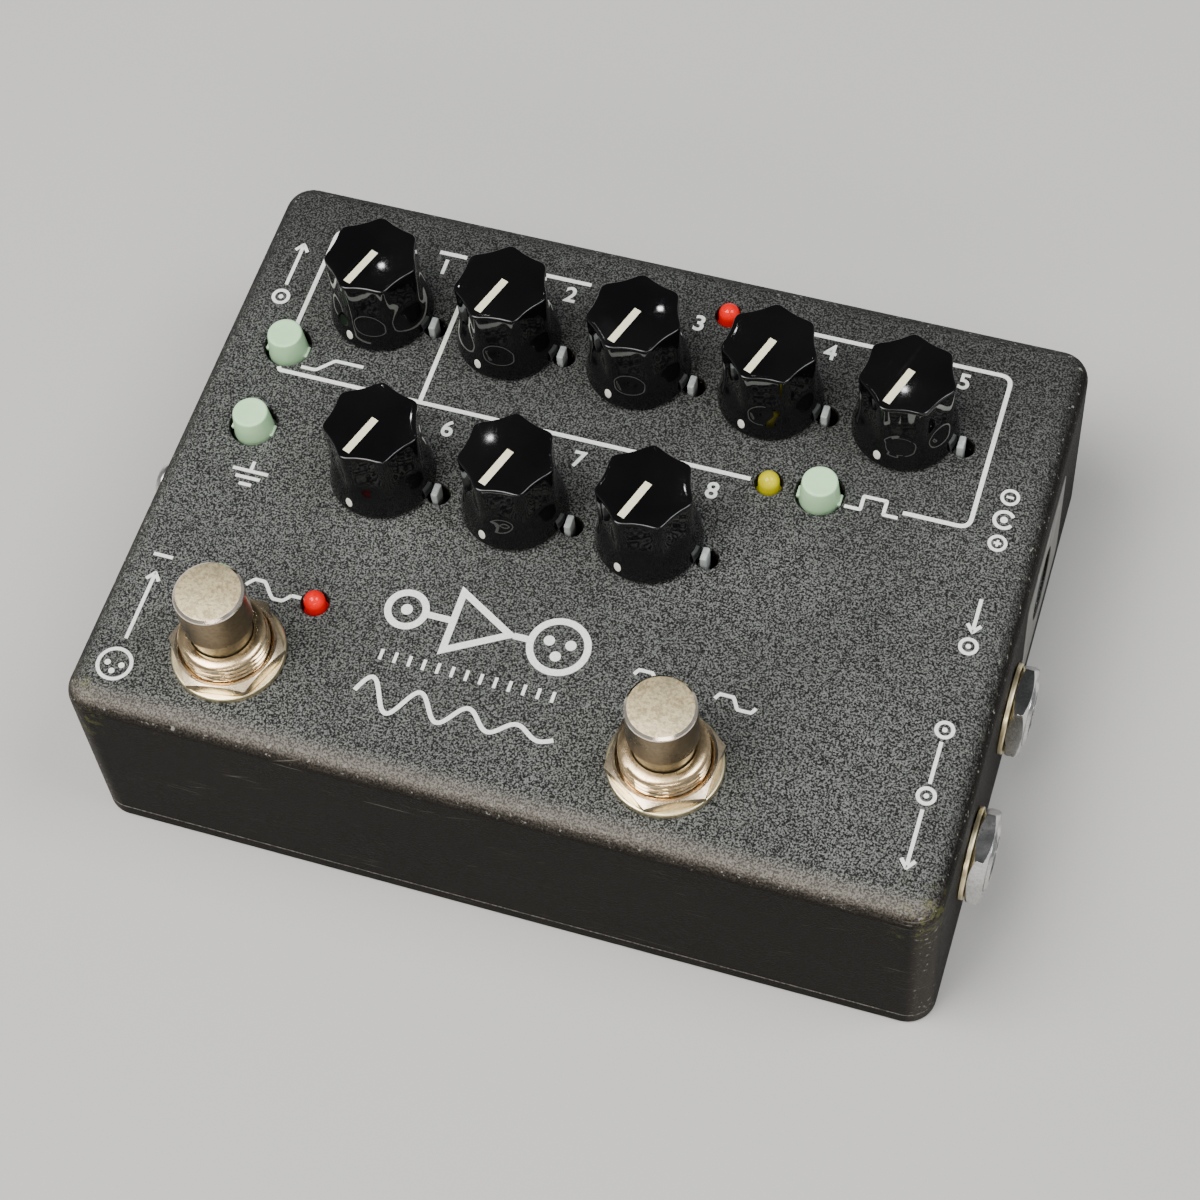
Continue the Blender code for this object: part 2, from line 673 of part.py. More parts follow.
def make_board():
    """A flat outline with a notch at the left front corner, given its thickness by an extrude."""
    bottom = BOARD_TOP - BOARD_THICKNESS
    right = half_width(BOARD_TOP) - WALL - BOARD_MARGIN
    back = half_depth(BOARD_TOP) - WALL - BOARD_MARGIN
    boss = BOSS_INSET + BOSS_RADIUS + BOARD_MARGIN
    inner_x = TOP_WIDTH / 2 - boss
    inner_y = TOP_DEPTH / 2 - boss
    notch_x, notch_y = BOARD_NOTCH
    outline = [
        (right, BOARD_FRONT),
        (right, inner_y),
        (inner_x, inner_y),
        (inner_x, back),
        (-inner_x, back),
        (-inner_x, inner_y),
        (-right, inner_y),
        (-right, notch_y),
        (notch_x, notch_y),
        (notch_x, BOARD_FRONT),
    ]
    curve = bpy.data.curves.new("main_board", "CURVE")
    curve.dimensions = "2D"
    curve.fill_mode = "BOTH"
    curve.extrude = BOARD_THICKNESS / 2
    spline = curve.splines.new("POLY")
    spline.points.add(len(outline) - 1)
    for point, (x, y) in zip(spline.points, outline):
        point.co = (x, y, 0.0, 1.0)
    spline.use_cyclic_u = True
    curve.materials.append(finish("board_green"))
    board = bpy.data.objects.new("main_board", curve)
    board.location.z = bottom + BOARD_THICKNESS / 2
    PARTS.objects.link(board)


# Push buttons


def make_buttons():
    top = BOARD_TOP + GAP + SWITCH_HEIGHT - HEIGHT
    floor = BOARD_TOP + GAP - HEIGHT
    half = SWITCH_SIZE / 2
    stem_bottom = top - SWITCH_HEIGHT / 2
    well = rod(STEM_RADIUS + GAP, stem_bottom - BUTTON_TRAVEL - GAP, top + MM, segments=SMALL_SIDES)
    switch = joined(block((-half, -half, floor), (half, half, top)), ("DIFFERENCE", well))
    cap = turned(
        [
            (0.0, BUTTON_TOP),
            (BUTTON_TOP_RADIUS - BUTTON_EDGE, BUTTON_TOP),
            (BUTTON_TOP_RADIUS, BUTTON_TOP - BUTTON_EDGE),
            (BUTTON_BASE_RADIUS, -BUTTON_ROOT),
            (STEM_RADIUS, -BUTTON_ROOT),
            (STEM_RADIUS, stem_bottom),
            (0.0, stem_bottom),
        ]
    )
    wing_x, wing_y = BUTTON_WING
    wing_low = BUTTON_WING_HEIGHT / 3 - BUTTON_ROOT
    wing = block((-wing_x, -wing_y, wing_low), (wing_x, wing_y, wing_low + BUTTON_WING_HEIGHT))
    button = joined(cap, ("UNION", wing))
    for name, (x, y) in BUTTONS.items():
        place(f"push_switch_{name}", switch, "switch_grey", (x, y, HEIGHT))
        place(f"button_{name}", button, "mint", (x, y, HEIGHT))


# Indicator lamps


def make_lamps():
    flange_low = LAMP_TOP - LAMP_LENGTH
    flange_high = flange_low + LAMP_FLANGE_HEIGHT
    dome = [(0.0, LAMP_TOP)]
    for step in range(1, LAMP_DOME_STEPS + 1):
        angle = math.pi / 2 * step / LAMP_DOME_STEPS
        height = LAMP_TOP - LAMP_RADIUS * (1 - math.cos(angle))
        dome.append((LAMP_RADIUS * math.sin(angle), height))
    lens = turned(
        [
            *dome,
            (LAMP_RADIUS, flange_high),
            (LAMP_FLANGE_RADIUS, flange_high),
            (LAMP_FLANGE_RADIUS, flange_low),
            (0.0, flange_low),
        ],
        steps=SMALL_SIDES,
    )
    board = BOARD_TOP + GAP - HEIGHT
    half = LAMP_LEAD / 2
    leads = [
        block((x - half, -half, board), (x + half, half, flange_low + LAMP_FLANGE_HEIGHT / 2))
        for x in (-LAMP_LEAD_PITCH / 2, LAMP_LEAD_PITCH / 2)
    ]
    lamp = joined(lens, ("UNION", several(*leads)))
    for name, (x, y) in LAMPS.items():
        colour = "yellow_lamp" if name == "yellow" else "red_lamp"
        place(f"lamp_{name}", lamp.copy(), colour, (x, y, HEIGHT))


# Foot switches


def foot_switch_mesh():
    half = FOOT_BODY / 2
    body_top = -PANEL - GAP
    body_bottom = body_top - FOOT_BODY_HEIGHT
    body = block((-half, -half, body_bottom), (half, half, body_top))
    thread = turned(
        [
            (0.0, FOOT_RIM_TOP),
            (FOOT_RIM_RADIUS, FOOT_RIM_TOP),
            (FOOT_THREAD_RADIUS, FOOT_CHAMFER_START),
            (FOOT_THREAD_RADIUS, body_top - MM),
            (0.0, body_top - MM),
        ]
    )
    length, width, drop = FOOT_LUG
    lugs = []
    for row in (-1, 0, 1):
        for column in (-1, 0, 1):
            x, y = column * FOOT_LUG_PITCH, row * FOOT_LUG_PITCH
            low = (x - length / 2, y - width / 2, body_bottom - drop)
            lugs.append(block(low, (x + length / 2, y + width / 2, body_bottom + MM)))
    well = -FOOT_STEM_DEPTH - FOOT_TRAVEL - GAP
    bore = rod(FOOT_STEM_RADIUS + GAP, well, FOOT_RIM_TOP + MM)
    return joined(body, ("UNION", thread), ("UNION", several(*lugs)), ("DIFFERENCE", bore))


def make_foot_switches():
    switch = foot_switch_mesh()
    cap_low = FOOT_CAP_TOP - FOOT_CAP_HEIGHT
    plunger = turned(
        [
            (0.0, FOOT_CAP_TOP),
            (FOOT_CAP_RADIUS - FOOT_CAP_CHAMFER, FOOT_CAP_TOP),
            (FOOT_CAP_RADIUS, FOOT_CAP_TOP - FOOT_CAP_CHAMFER),
            (FOOT_CAP_RADIUS, cap_low),
            (FOOT_STEM_RADIUS, cap_low),
            (FOOT_STEM_RADIUS, -FOOT_STEM_DEPTH),
            (0.0, -FOOT_STEM_DEPTH),
        ]
    )
    washer_top = SEAT + FOOT_WASHER_HEIGHT
    washer = joined(
        rod(FOOT_WASHER_RADIUS, SEAT, washer_top, segments=LARGE_SIDES),
        ("DIFFERENCE", rod(FOOT_THREAD_RADIUS + GAP, -MM, washer_top + MM)),
    )
    nut_low = washer_top + SEAT
    nut = hexagon(FOOT_NUT_FLATS, nut_low, nut_low + FOOT_NUT_HEIGHT, FOOT_THREAD_RADIUS + GAP)
    for name, ((x, y), turn) in FOOT_SWITCHES.items():
        spot = (x, y, HEIGHT)
        place(f"foot_switch_{name}", switch, "nickel", spot)
        place(f"foot_plunger_{name}", plunger, "worn_nickel", spot)
        place(f"foot_washer_{name}", washer, "nickel", spot)
        place(f"foot_nut_{name}", nut, "nickel", spot, (0.0, 0.0, turn))


# Sockets in the side walls; their own +Z points out of the wall


def make_jacks():
    half_x, half_y = JACK_BODY[0] / 2, JACK_BODY[1] / 2
    front = -WALL - 2 * GAP
    body = block((-half_x, -half_y, front - JACK_BODY[2]), (half_x, half_y, front))
    thread = turned(
        [
            (0.0, JACK_PROUD),
            (JACK_THREAD_RADIUS - JACK_THREAD_EDGE, JACK_PROUD),
            (JACK_THREAD_RADIUS, JACK_PROUD - JACK_THREAD_EDGE),
            (JACK_THREAD_RADIUS, front - MM),
            (0.0, front - MM),
        ]
    )
    bore = rod(JACK_BORE_RADIUS, JACK_PROUD - JACK_BORE_DEPTH, JACK_PROUD + MM)
    jack = joined(body, ("UNION", thread), ("DIFFERENCE", bore))
    nut_top = JACK_NUT_STANDOFF + JACK_NUT_HEIGHT
    nut = hexagon(JACK_NUT_FLATS, JACK_NUT_STANDOFF, nut_top, JACK_THREAD_RADIUS + GAP, JACK_NUT_TURN)
    for name, (side, y) in JACKS.items():
        location, rotation = on_wall(side, y, JACK_Z)
        place(f"jack_{name}", jack, "chrome", location, rotation)
        place(f"jack_nut_{name}", nut, "chrome", location, rotation)


def xlr_screw_places():
    """The two fixing screws stand on a diagonal: rear and high, front and low."""
    up, along = XLR_SCREW_OFFSET
    return [(XLR_Y + along, XLR_Z + up), (XLR_Y - along, XLR_Z - up)]


def make_xlr():
    flange_front = -WALL - 2 * GAP
    flange_back = flange_front - XLR_FLANGE[2]
    half_x, half_y = XLR_FLANGE[0] / 2, XLR_FLANGE[1] / 2
    flange = block((-half_x, -half_y, flange_back), (half_x, half_y, flange_front))
    barrel = rod(XLR_BARREL_RADIUS, -XLR_BARREL_DEPTH, XLR_PROUD, segments=LARGE_SIDES)
    rear = rod(XLR_REAR_RADIUS, -XLR_REAR_DEPTH, -XLR_BARREL_DEPTH + MM)
    bore_floor = XLR_PROUD - XLR_BORE_DEPTH
    bore = rod(XLR_BORE_RADIUS, bore_floor, XLR_PROUD + MM, segments=LARGE_SIDES)
    pins = []
    for quarter in range(3):
        x = XLR_PIN_CIRCLE * math.cos(quarter * math.pi / 2)
        y = XLR_PIN_CIRCLE * math.sin(quarter * math.pi / 2)
        pin_tip = bore_floor + XLR_PIN_LENGTH
        pins.append(rod(XLR_PIN_RADIUS, bore_floor - MM, pin_tip, x=x, y=y, segments=SMALL_SIDES))
    up, along = XLR_SCREW_OFFSET
    screw_room = XLR_SCREW_RADIUS + GAP
    low, high = flange_back - MM, flange_front + MM
    screw_holes = several(
        *[rod(screw_room, low, high, x=s * up, y=s * along, segments=SMALL_SIDES) for s in (-1, 1)]
    )
    socket = joined(
        flange,
        ("UNION", barrel),
        ("UNION", rear),
        ("DIFFERENCE", bore),
        ("UNION", several(*pins)),
        ("DIFFERENCE", screw_holes),
    )
    location, rotation = on_wall(-1, XLR_Y, XLR_Z)
    place("xlr_socket", socket, "black_plastic", location, rotation)
    arm, half = XLR_SCREW_HEAD_RADIUS * SCREW_SLOT_REACH, SCREW_SLOT_WIDTH / 2
    screw = turned(
        [
            (0.0, GAP + XLR_SCREW_HEAD),
            (arm, GAP + XLR_SCREW_HEAD),
            (XLR_SCREW_HEAD_RADIUS, GAP + XLR_SCREW_SHOULDER),
            (XLR_SCREW_HEAD_RADIUS, GAP),
            (XLR_SCREW_RADIUS, GAP),
            (XLR_SCREW_RADIUS, -XLR_SCREW_LENGTH),
            (0.0, -XLR_SCREW_LENGTH),
        ],
        steps=SMALL_SIDES,
    )
    deep = GAP + XLR_SCREW_HEAD - SCREW_SLOT_DEPTH
    high = GAP + XLR_SCREW_HEAD + MM
    one = block((-arm, -half, deep), (arm, half, high))
    other = block((-half, -arm, deep), (half, arm, high))
    screw = joined(screw, ("DIFFERENCE", one), ("DIFFERENCE", other))
    for count, (y, z) in enumerate(xlr_screw_places()):
        location, rotation = on_wall(-1, y, z)
        place(f"xlr_screw_{count + 1}", screw, "chrome", location, rotation)


def make_power_socket():
    front = -WALL - 2 * GAP
    half_x, half_y = POWER_BODY[0] / 2, POWER_BODY[1] / 2
    body = block((-half_x, -half_y, front - POWER_BODY[2]), (half_x, half_y, front))
    nose = rod(POWER_NOSE_RADIUS, front - MM, -GAP)
    floor = -GAP - POWER_BORE_DEPTH
    bore = rod(POWER_BORE_RADIUS, floor, MM)
    pin = rod(POWER_PIN_RADIUS, floor - MM, -GAP - MM, segments=SMALL_SIDES)
    socket = joined(body, ("UNION", nose), ("DIFFERENCE", bore), ("UNION", pin))
    location, rotation = on_wall(1, POWER_Y, POWER_Z)
    place("power_socket", socket, "black_plastic", location, rotation)


# Battery and its snap


def lead_mesh(x, start_y, start_z, end_y, end_z):
    """One insulated lead: a smooth arch from the snap up to the board."""
    curve = bpy.data.curves.new("lead", "CURVE")
    curve.dimensions = "3D"
    curve.bevel_depth = LEAD_RADIUS
    curve.bevel_resolution = 2
    curve.use_fill_caps = True
    spline = curve.splines.new("POLY")
    spline.points.add(LEAD_STEPS)
    for count, point in enumerate(spline.points):
        turn = math.pi / 2 * count / LEAD_STEPS
        y = start_y + (end_y - start_y) * math.sin(turn)
        z = start_z + (end_z - start_z) * (1 - math.cos(turn))
        point.co = (x, y, z, 1.0)
    obj = bpy.data.objects.new("lead", curve)
    CUTTERS.objects.link(obj)
    mesh = baked(obj)

    def weld(bm):
        bm.from_mesh(mesh)
        bmesh.ops.remove_doubles(bm, verts=bm.verts, dist=TINY)

    return mesh_of("lead", weld)


def make_battery():
    low = Vector((*BATTERY_CORNER, BASE_THICKNESS + GAP))
    high = low + Vector(BATTERY)
    middle = (low + high) / 2

    def build(bm):
        add_block(bm, low, high)
        bmesh.ops.bevel(bm, geom=bm.edges, offset=BATTERY_EDGE, segments=2, affect="EDGES", profile=0.5)

    def stud(bm, radius, start, end, x):
        turn = Matrix.Rotation(-math.pi / 2, 4, "X")
        verts = add_rod(bm, radius, start, end, segments=SMALL_SIDES)
        bmesh.ops.transform(bm, matrix=turn, verts=verts)
        bmesh.ops.translate(bm, vec=(x, high.y, middle.z), verts=verts)

    def studs(radius, start, end):
        xs = (middle.x - STUD_PITCH / 2, middle.x + STUD_PITCH / 2)
        return several(*[mesh_of("stud", lambda bm, x=x: stud(bm, radius, start, end, x)) for x in xs])

    battery = joined(mesh_of("battery", build), ("UNION", studs(STUD_RADIUS, -MM, STUD_LENGTH)))
    place("battery", battery, "battery_shell")
    half_x, half_z = SNAP[0] / 2, SNAP[2] / 2
    front = high.y + GAP
    back = front + SNAP[1]
    snap_low = (middle.x - half_x, front, middle.z - half_z)
    snap = block(snap_low, (middle.x + half_x, back, middle.z + half_z))
    sockets = studs(STUD_RADIUS + GAP, -MM, STUD_LENGTH + GAP)
    board_under = BOARD_TOP - BOARD_THICKNESS - GAP
    leads = [
        lead_mesh(middle.x + side * STUD_PITCH / 4, back - MM / 2, middle.z, back + LEAD_RISE, board_under)
        for side in (-1, 1)
    ]
    snap = joined(snap, ("DIFFERENCE", sockets), ("UNION", leads[0]), ("UNION", leads[1]))
    place("battery_snap", snap, "black_plastic")


make_enclosure()
make_base_plate()
make_base_screws()
make_knobs()
make_board()
make_buttons()
make_lamps()
make_foot_switches()
make_jacks()
make_xlr()
make_power_socket()
make_battery()
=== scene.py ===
# %% [markdown]
# # A direct injection box, dressed for its portrait
# The solid parts come from model.glb: a die-cast box with eight knobs, three push buttons, three lamps, two foot
# switches and its sockets. This lesson gives each of them its finish. Where a imported part is too coarse to show,
# a finer piece is modelled in its place and hides it.

# %% Load the imported parts
import json
import math

import bmesh
import bpy
from mathutils import Matrix, Vector


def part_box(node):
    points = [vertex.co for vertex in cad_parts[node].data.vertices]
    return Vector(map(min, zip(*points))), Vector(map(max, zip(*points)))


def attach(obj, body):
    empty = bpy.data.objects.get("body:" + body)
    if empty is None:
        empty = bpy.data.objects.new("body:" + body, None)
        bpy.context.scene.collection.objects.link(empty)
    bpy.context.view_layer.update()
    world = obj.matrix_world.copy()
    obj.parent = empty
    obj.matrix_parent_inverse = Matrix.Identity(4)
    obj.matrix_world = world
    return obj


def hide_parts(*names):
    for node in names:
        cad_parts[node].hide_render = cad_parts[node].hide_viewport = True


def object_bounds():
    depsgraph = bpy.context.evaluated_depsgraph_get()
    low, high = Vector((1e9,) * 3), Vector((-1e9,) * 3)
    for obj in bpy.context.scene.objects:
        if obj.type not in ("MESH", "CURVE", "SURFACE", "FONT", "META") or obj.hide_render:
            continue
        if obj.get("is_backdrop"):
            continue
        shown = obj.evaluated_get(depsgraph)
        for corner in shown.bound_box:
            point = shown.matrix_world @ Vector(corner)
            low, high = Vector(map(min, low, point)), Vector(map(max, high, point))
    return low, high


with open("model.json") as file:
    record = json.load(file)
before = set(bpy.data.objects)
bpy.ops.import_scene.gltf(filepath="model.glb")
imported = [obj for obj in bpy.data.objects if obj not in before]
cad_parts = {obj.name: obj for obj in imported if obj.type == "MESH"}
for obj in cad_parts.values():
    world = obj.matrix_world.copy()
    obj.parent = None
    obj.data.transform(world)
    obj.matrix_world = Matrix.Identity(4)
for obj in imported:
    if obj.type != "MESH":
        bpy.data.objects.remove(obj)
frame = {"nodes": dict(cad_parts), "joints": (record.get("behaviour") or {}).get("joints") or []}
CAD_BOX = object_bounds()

MM = 0.001
scene = bpy.context.scene

# %% [markdown]
# ## Where things are
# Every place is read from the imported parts, so that a new size there moves the looks along with it. A hinge says
# where a knob turns. A round part's axis is the middle of its box.

# %% Places
PANEL_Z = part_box("enclosure")[1].z
SEAM_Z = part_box("enclosure")[0].z


def middle(node):
    low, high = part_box(node)
    return (low + high) / 2


def on_panel(node):
    """The point of the panel's face on a part's axis."""
    spot = middle(node)
    return Vector((spot.x, spot.y, PANEL_Z))


KNOB_SPOTS = {
    joint["name"].removeprefix("turn_"): Vector(joint["pos_m"])
    for joint in frame["joints"]
    if joint["name"].startswith("turn_")
}
BUTTON_NAMES = ("upper_left", "lower_left", "right")
LAMP_NAMES = ("rear_red", "yellow", "front_red")
FOOT_NAMES = ("left", "right")
JACK_SIDES = {"input": 1, "parallel_output": 1, "output": -1}
print("knobs at", {name: [round(v / MM, 1) for v in spot[:2]] for name, spot in KNOB_SPOTS.items()})

# %% [markdown]
# ## The camera
# It looks down on the box from the front right, from about arm's length, with a long lens so that the sides stay
# nearly parallel.

# %% Camera
CAMERA_PLACE = (77.34 * MM, -180.54 * MM, 346.71 * MM)
CAMERA_TURN = (30.175, 3.269, 17.467)
CAMERA_LENS = 81.6

camera_data = bpy.data.cameras.new("camera")
camera_data.lens = CAMERA_LENS
camera_data.sensor_width = 36.0
camera_data.clip_start = 0.01
camera = bpy.data.objects.new("camera", camera_data)
camera.location = CAMERA_PLACE
camera.rotation_euler = [math.radians(angle) for angle in CAMERA_TURN]
scene.collection.objects.link(camera)
scene.camera = camera
print("camera", round((camera.location - Vector((0, 0, PANEL_Z))).length, 3), "m from the panel")

# %% [markdown]
# ## The floor and the light
# The floor is a plain pale sheet. Gloss black shows only what it reflects, so the place that the knob tops mirror,
# up behind the box and to its left, is kept dark. A wide soft lamp overhead, out of that place, gives the panel its
# even light. A low one behind the camera draws the bright line along each rim that faces it. A few tiny bare lamps
# stand in the mirrored place and leave the small white glints that polished plastic shows.

# %% Floor
FLOOR_REACH = 3.0
FLOOR_Z = -0.05 * MM  # a hair below the base plate, so that two faces never share one plane

floor_mesh = bpy.data.meshes.new("floor")
corners = [(x * FLOOR_REACH, y * FLOOR_REACH, FLOOR_Z) for x, y in ((-1, -1), (1, -1), (1, 1), (-1, 1))]
floor_mesh.from_pydata(corners, [], [(0, 1, 2, 3)])
floor = bpy.data.objects.new("floor", floor_mesh)
scene.collection.objects.link(floor)
floor_paint = bpy.data.materials.new("floor_paint")
floor_paint.use_nodes = True
floor_shader = floor_paint.node_tree.nodes["Principled BSDF"]
floor_shader.inputs["Base Color"].default_value = (0.52, 0.515, 0.50, 1.0)
floor_shader.inputs["Roughness"].default_value = 0.9
floor_mesh.materials.append(floor_paint)
floor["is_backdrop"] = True


# %% Lights
def soft_lamp(name, place, aim, width, length, watts, colour=(1.0, 1.0, 1.0)):
    """A rectangular area lamp at a place, turned to face a point."""
    lamp = bpy.data.lights.new(name, "AREA")
    lamp.shape = "RECTANGLE"
    lamp.size = width
    lamp.size_y = length
    lamp.energy = watts
    lamp.color = colour
    obj = bpy.data.objects.new(name, lamp)
    obj.location = place
    obj.rotation_euler = (Vector(aim) - Vector(place)).to_track_quat("-Z", "Y").to_euler()
    scene.collection.objects.link(obj)
    return obj


BOX_MIDDLE = (0.0, 0.0, 0.02)
soft_lamp("overhead", (-0.35, -0.32, 1.02), BOX_MIDDLE, 0.7, 0.7, 18.0, (1.0, 0.985, 0.96))
soft_lamp("right_overhead", (0.55, 0.05, 0.95), BOX_MIDDLE, 0.45, 0.45, 6.0, (0.96, 0.98, 1.0))
soft_lamp("behind_camera", (0.42, -0.95, 0.66), BOX_MIDDLE, 0.7, 0.10, 3.6, (1.0, 0.92, 0.82))
GLINT_PLACES = [(-0.37, 0.63), (-0.30, 0.56), (-0.21, 0.66), (-0.15, 0.55), (-0.08, 0.62)]
GLINT_HEIGHT = 0.95
GLINT_SIZE = 0.005
for count, (x, y) in enumerate(GLINT_PLACES):
    soft_lamp(f"glint_{count}", (x, y, GLINT_HEIGHT), BOX_MIDDLE, GLINT_SIZE, GLINT_SIZE, 0.006)

# %% [markdown]
# The studio walls are a plain grey that falls to near black round the mirrored direction. The fall follows the angle
# to that direction, so it has no edge that a curved chrome part could show.

# %% World
DARK_TOWARDS = Vector((-0.27, 0.54, 0.79)).normalized()

world = bpy.data.worlds.new("studio")
world.use_nodes = True
sky = world.node_tree
direction = sky.nodes.new("ShaderNodeTexCoord").outputs["Generated"]
closeness = sky.nodes.new("ShaderNodeVectorMath")
closeness.operation = "DOT_PRODUCT"
sky.links.new(direction, closeness.inputs[0])
closeness.inputs[1].default_value = DARK_TOWARDS
strength = sky.nodes.new("ShaderNodeMapRange")
sky.links.new(closeness.outputs["Value"], strength.inputs["Value"])
for label, bound in (("From Min", 0.55), ("From Max", 0.97), ("To Min", 0.30), ("To Max", 0.03)):
    strength.inputs[label].default_value = bound
sky.nodes["Background"].inputs["Color"].default_value = (0.94, 0.97, 1.0, 1.0)
sky.links.new(strength.outputs["Result"], sky.nodes["Background"].inputs["Strength"])
scene.world = world

# %% [markdown]
# ## Building with rings
# Most pieces here are round, or nearly so. Blender's Screw modifier could turn each profile, but a ring of points
# whose radius may change with the angle makes a turned rim, a fluted knob and a cut thread alike. So one helper
# joins rings into a skin, and the shapes differ only in the function that places their points.


# %% Rings, arcs and turned pieces
def mesh_from(name, build):
    """A mesh from a function that fills a bmesh."""
    bm = bmesh.new()
    build(bm)
    bmesh.ops.recalc_face_normals(bm, faces=bm.faces)
    mesh = bpy.data.meshes.new(name)
    bm.to_mesh(mesh)
    bm.free()
    return mesh


def smooth(mesh, sharp_above=32.0):
    mesh.shade_smooth()
    mesh.set_sharp_from_angle(angle=math.radians(sharp_above))
    return mesh


def skin(name, rings):
    """A closed skin over rings with as many points each, capped at both ends. A ring of one point is a tip."""

    def build(bm):
        levels = [[bm.verts.new(point) for point in ring] for ring in rings]
        for upper, lower in zip(levels, levels[1:]):
            count = max(len(upper), len(lower))
            for i in range(count):
                j = (i + 1) % count
                if len(upper) == 1:
                    bm.faces.new((upper[0], lower[j], lower[i]))
                elif len(lower) == 1:
                    bm.faces.new((upper[i], upper[j], lower[0]))
                else:
                    bm.faces.new((upper[i], upper[j], lower[j], lower[i]))
        for end in (levels[0], levels[-1]):
            if len(end) > 2:
                bm.faces.new(end)

    return mesh_from(name, build)


def mm(*points):
    """Points given in millimetres, in metres."""
    return [tuple(value * MM for value in point) for point in points]


def circle(radius, height, sides):
    if radius == 0.0:
        return [(0.0, 0.0, height)]
    turns = [2 * math.pi * count / sides for count in range(sides)]
    return [(radius * math.cos(turn), radius * math.sin(turn), height) for turn in turns]


def rounded(points, radius, steps=4):
    """The open outline with each of its inner corners turned into an arc."""
    outline = [Vector(points[0])]
    for before, corner, after in zip(points, points[1:], points[2:]):
        before, corner, after = Vector(before), Vector(corner), Vector(after)
        back, on = before - corner, after - corner
        angle = back.angle(on, math.pi)
        if angle > math.radians(175.0):
            outline.append(corner)
            continue
        reach = min(radius / math.tan(angle / 2), back.length * 0.49, on.length * 0.49)
        start = corner + back.normalized() * reach
        end = corner + on.normalized() * reach
        for step in range(steps + 1):
            share = step / steps
            outline.append(start.lerp(corner, share).lerp(corner.lerp(end, share), share))
    outline.append(Vector(points[-1]))
    return outline


def turned(name, profile, sides=64, edge=0.0, steps=3):
    """A turned piece. The profile runs from the top of its outer side down, and its corners are eased by edge."""
    if edge:
        profile = [tuple(point) for point in rounded(profile, edge, steps)]
    rings = [circle(max(radius, 0.0), height, sides) for radius, height in profile]
    return skin(name, rings)


def merged(name, *meshes):
    """Several meshes as one, each still a body of its own."""
    return mesh_from(name, lambda bm: [bm.from_mesh(mesh) for mesh in meshes])


def moved(mesh, matrix):
    mesh.transform(matrix)
    return mesh


def block(name, low, high, edge=0.0, segments=3):
    """A box between two corners, its edges eased."""
    low, high = Vector(low), Vector(high)

    def build(bm):
        size = Matrix.Diagonal((*(high - low), 1.0))
        bmesh.ops.create_cube(bm, size=1.0, matrix=Matrix.Translation((low + high) / 2) @ size)
        if edge:
            bmesh.ops.bevel(bm, geom=bm.edges, offset=edge, segments=segments, affect="EDGES", profile=0.5)

    return mesh_from(name, build)


def carved(name, mesh, *steps):
    """The mesh after each (operation, other mesh) step of an exact Boolean."""
    obj = bpy.data.objects.new(name, mesh)
    scene.collection.objects.link(obj)
    helpers = []
    for operation, other in steps:
        helper = bpy.data.objects.new("helper", other)
        scene.collection.objects.link(helper)
        helpers.append(helper)
        modifier = obj.modifiers.new("carve", "BOOLEAN")
        modifier.operation = operation
        modifier.object = helper
    graph = bpy.context.evaluated_depsgraph_get()
    result = bpy.data.meshes.new_from_object(obj.evaluated_get(graph))
    for helper in (obj, *helpers):
        bpy.data.objects.remove(helper)
    result.name = name
    return result


def out_of_wall(side, y, z, half_width):
    """The matrix that points a piece's own +Z straight out of a side wall."""
    return Matrix.Translation((side * half_width, y, z)) @ Matrix.Rotation(side * math.pi / 2, 4, "Y")


def piece(name, mesh, finish, body, replaces=()):
    """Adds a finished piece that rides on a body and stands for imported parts."""
    mesh.materials.clear()
    mesh.materials.append(finish)
    obj = bpy.data.objects.new(name, mesh)
    scene.collection.objects.link(obj)
    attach(obj, body)
    if replaces:
        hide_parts(*replaces)
    return obj


def even_normals(obj):
    """Keeps large flat faces looking flat beside their eased edges."""
    weighted = obj.modifiers.new("even_normals", "WEIGHTED_NORMAL")
    weighted.keep_sharp = True
    return obj


# %% [markdown]
# ## Effects that finishes share
# A coat of paint, a plated nut and a moulded knob all have grain, and all of them wear. Each effect is a node group
# with its own sockets, placed in a material with that material's values. A group gives masks and heights. The
# Principled shader stays in the material, where its own sockets can be seen.


# %% A small kit for node trees
def group_tree(name, inputs, outputs):
    """A node group with float or vector inputs and outputs, ready to be filled."""
    tree = bpy.data.node_groups.new(name, "ShaderNodeTree")
    for label, value in inputs:
        kind = "NodeSocketVector" if value is None else "NodeSocketFloat"
        socket = tree.interface.new_socket(name=label, in_out="INPUT", socket_type=kind)
        if value is not None:
            socket.default_value = value
    for label in outputs:
        tree.interface.new_socket(name=label, in_out="OUTPUT", socket_type="NodeSocketFloat")
    return tree, tree.nodes.new("NodeGroupInput"), tree.nodes.new("NodeGroupOutput")


def feed(tree, socket, value):
    """Sets a socket to a number or a colour, or links another socket to it."""
    if isinstance(value, bpy.types.NodeSocket):
        tree.links.new(value, socket)
    elif isinstance(value, (tuple, list)) and len(value) == 3 and socket.type == "RGBA":
        socket.default_value = (*value, 1.0)
    else:
        socket.default_value = value


def noise(tree, place, scale, detail=2.0, roughness=0.5, stretch=None):
    """A noise's value at a place, which may be stretched along its axes first."""
    if stretch is not None:
        mapping = tree.nodes.new("ShaderNodeMapping")
        feed(tree, mapping.inputs["Vector"], place)
        mapping.inputs["Scale"].default_value = stretch
        place = mapping.outputs["Vector"]
    node = tree.nodes.new("ShaderNodeTexNoise")
    feed(tree, node.inputs["Vector"], place)
    feed(tree, node.inputs["Scale"], scale)
    node.inputs["Detail"].default_value = detail
    node.inputs["Roughness"].default_value = roughness
    return node.outputs["Fac"]


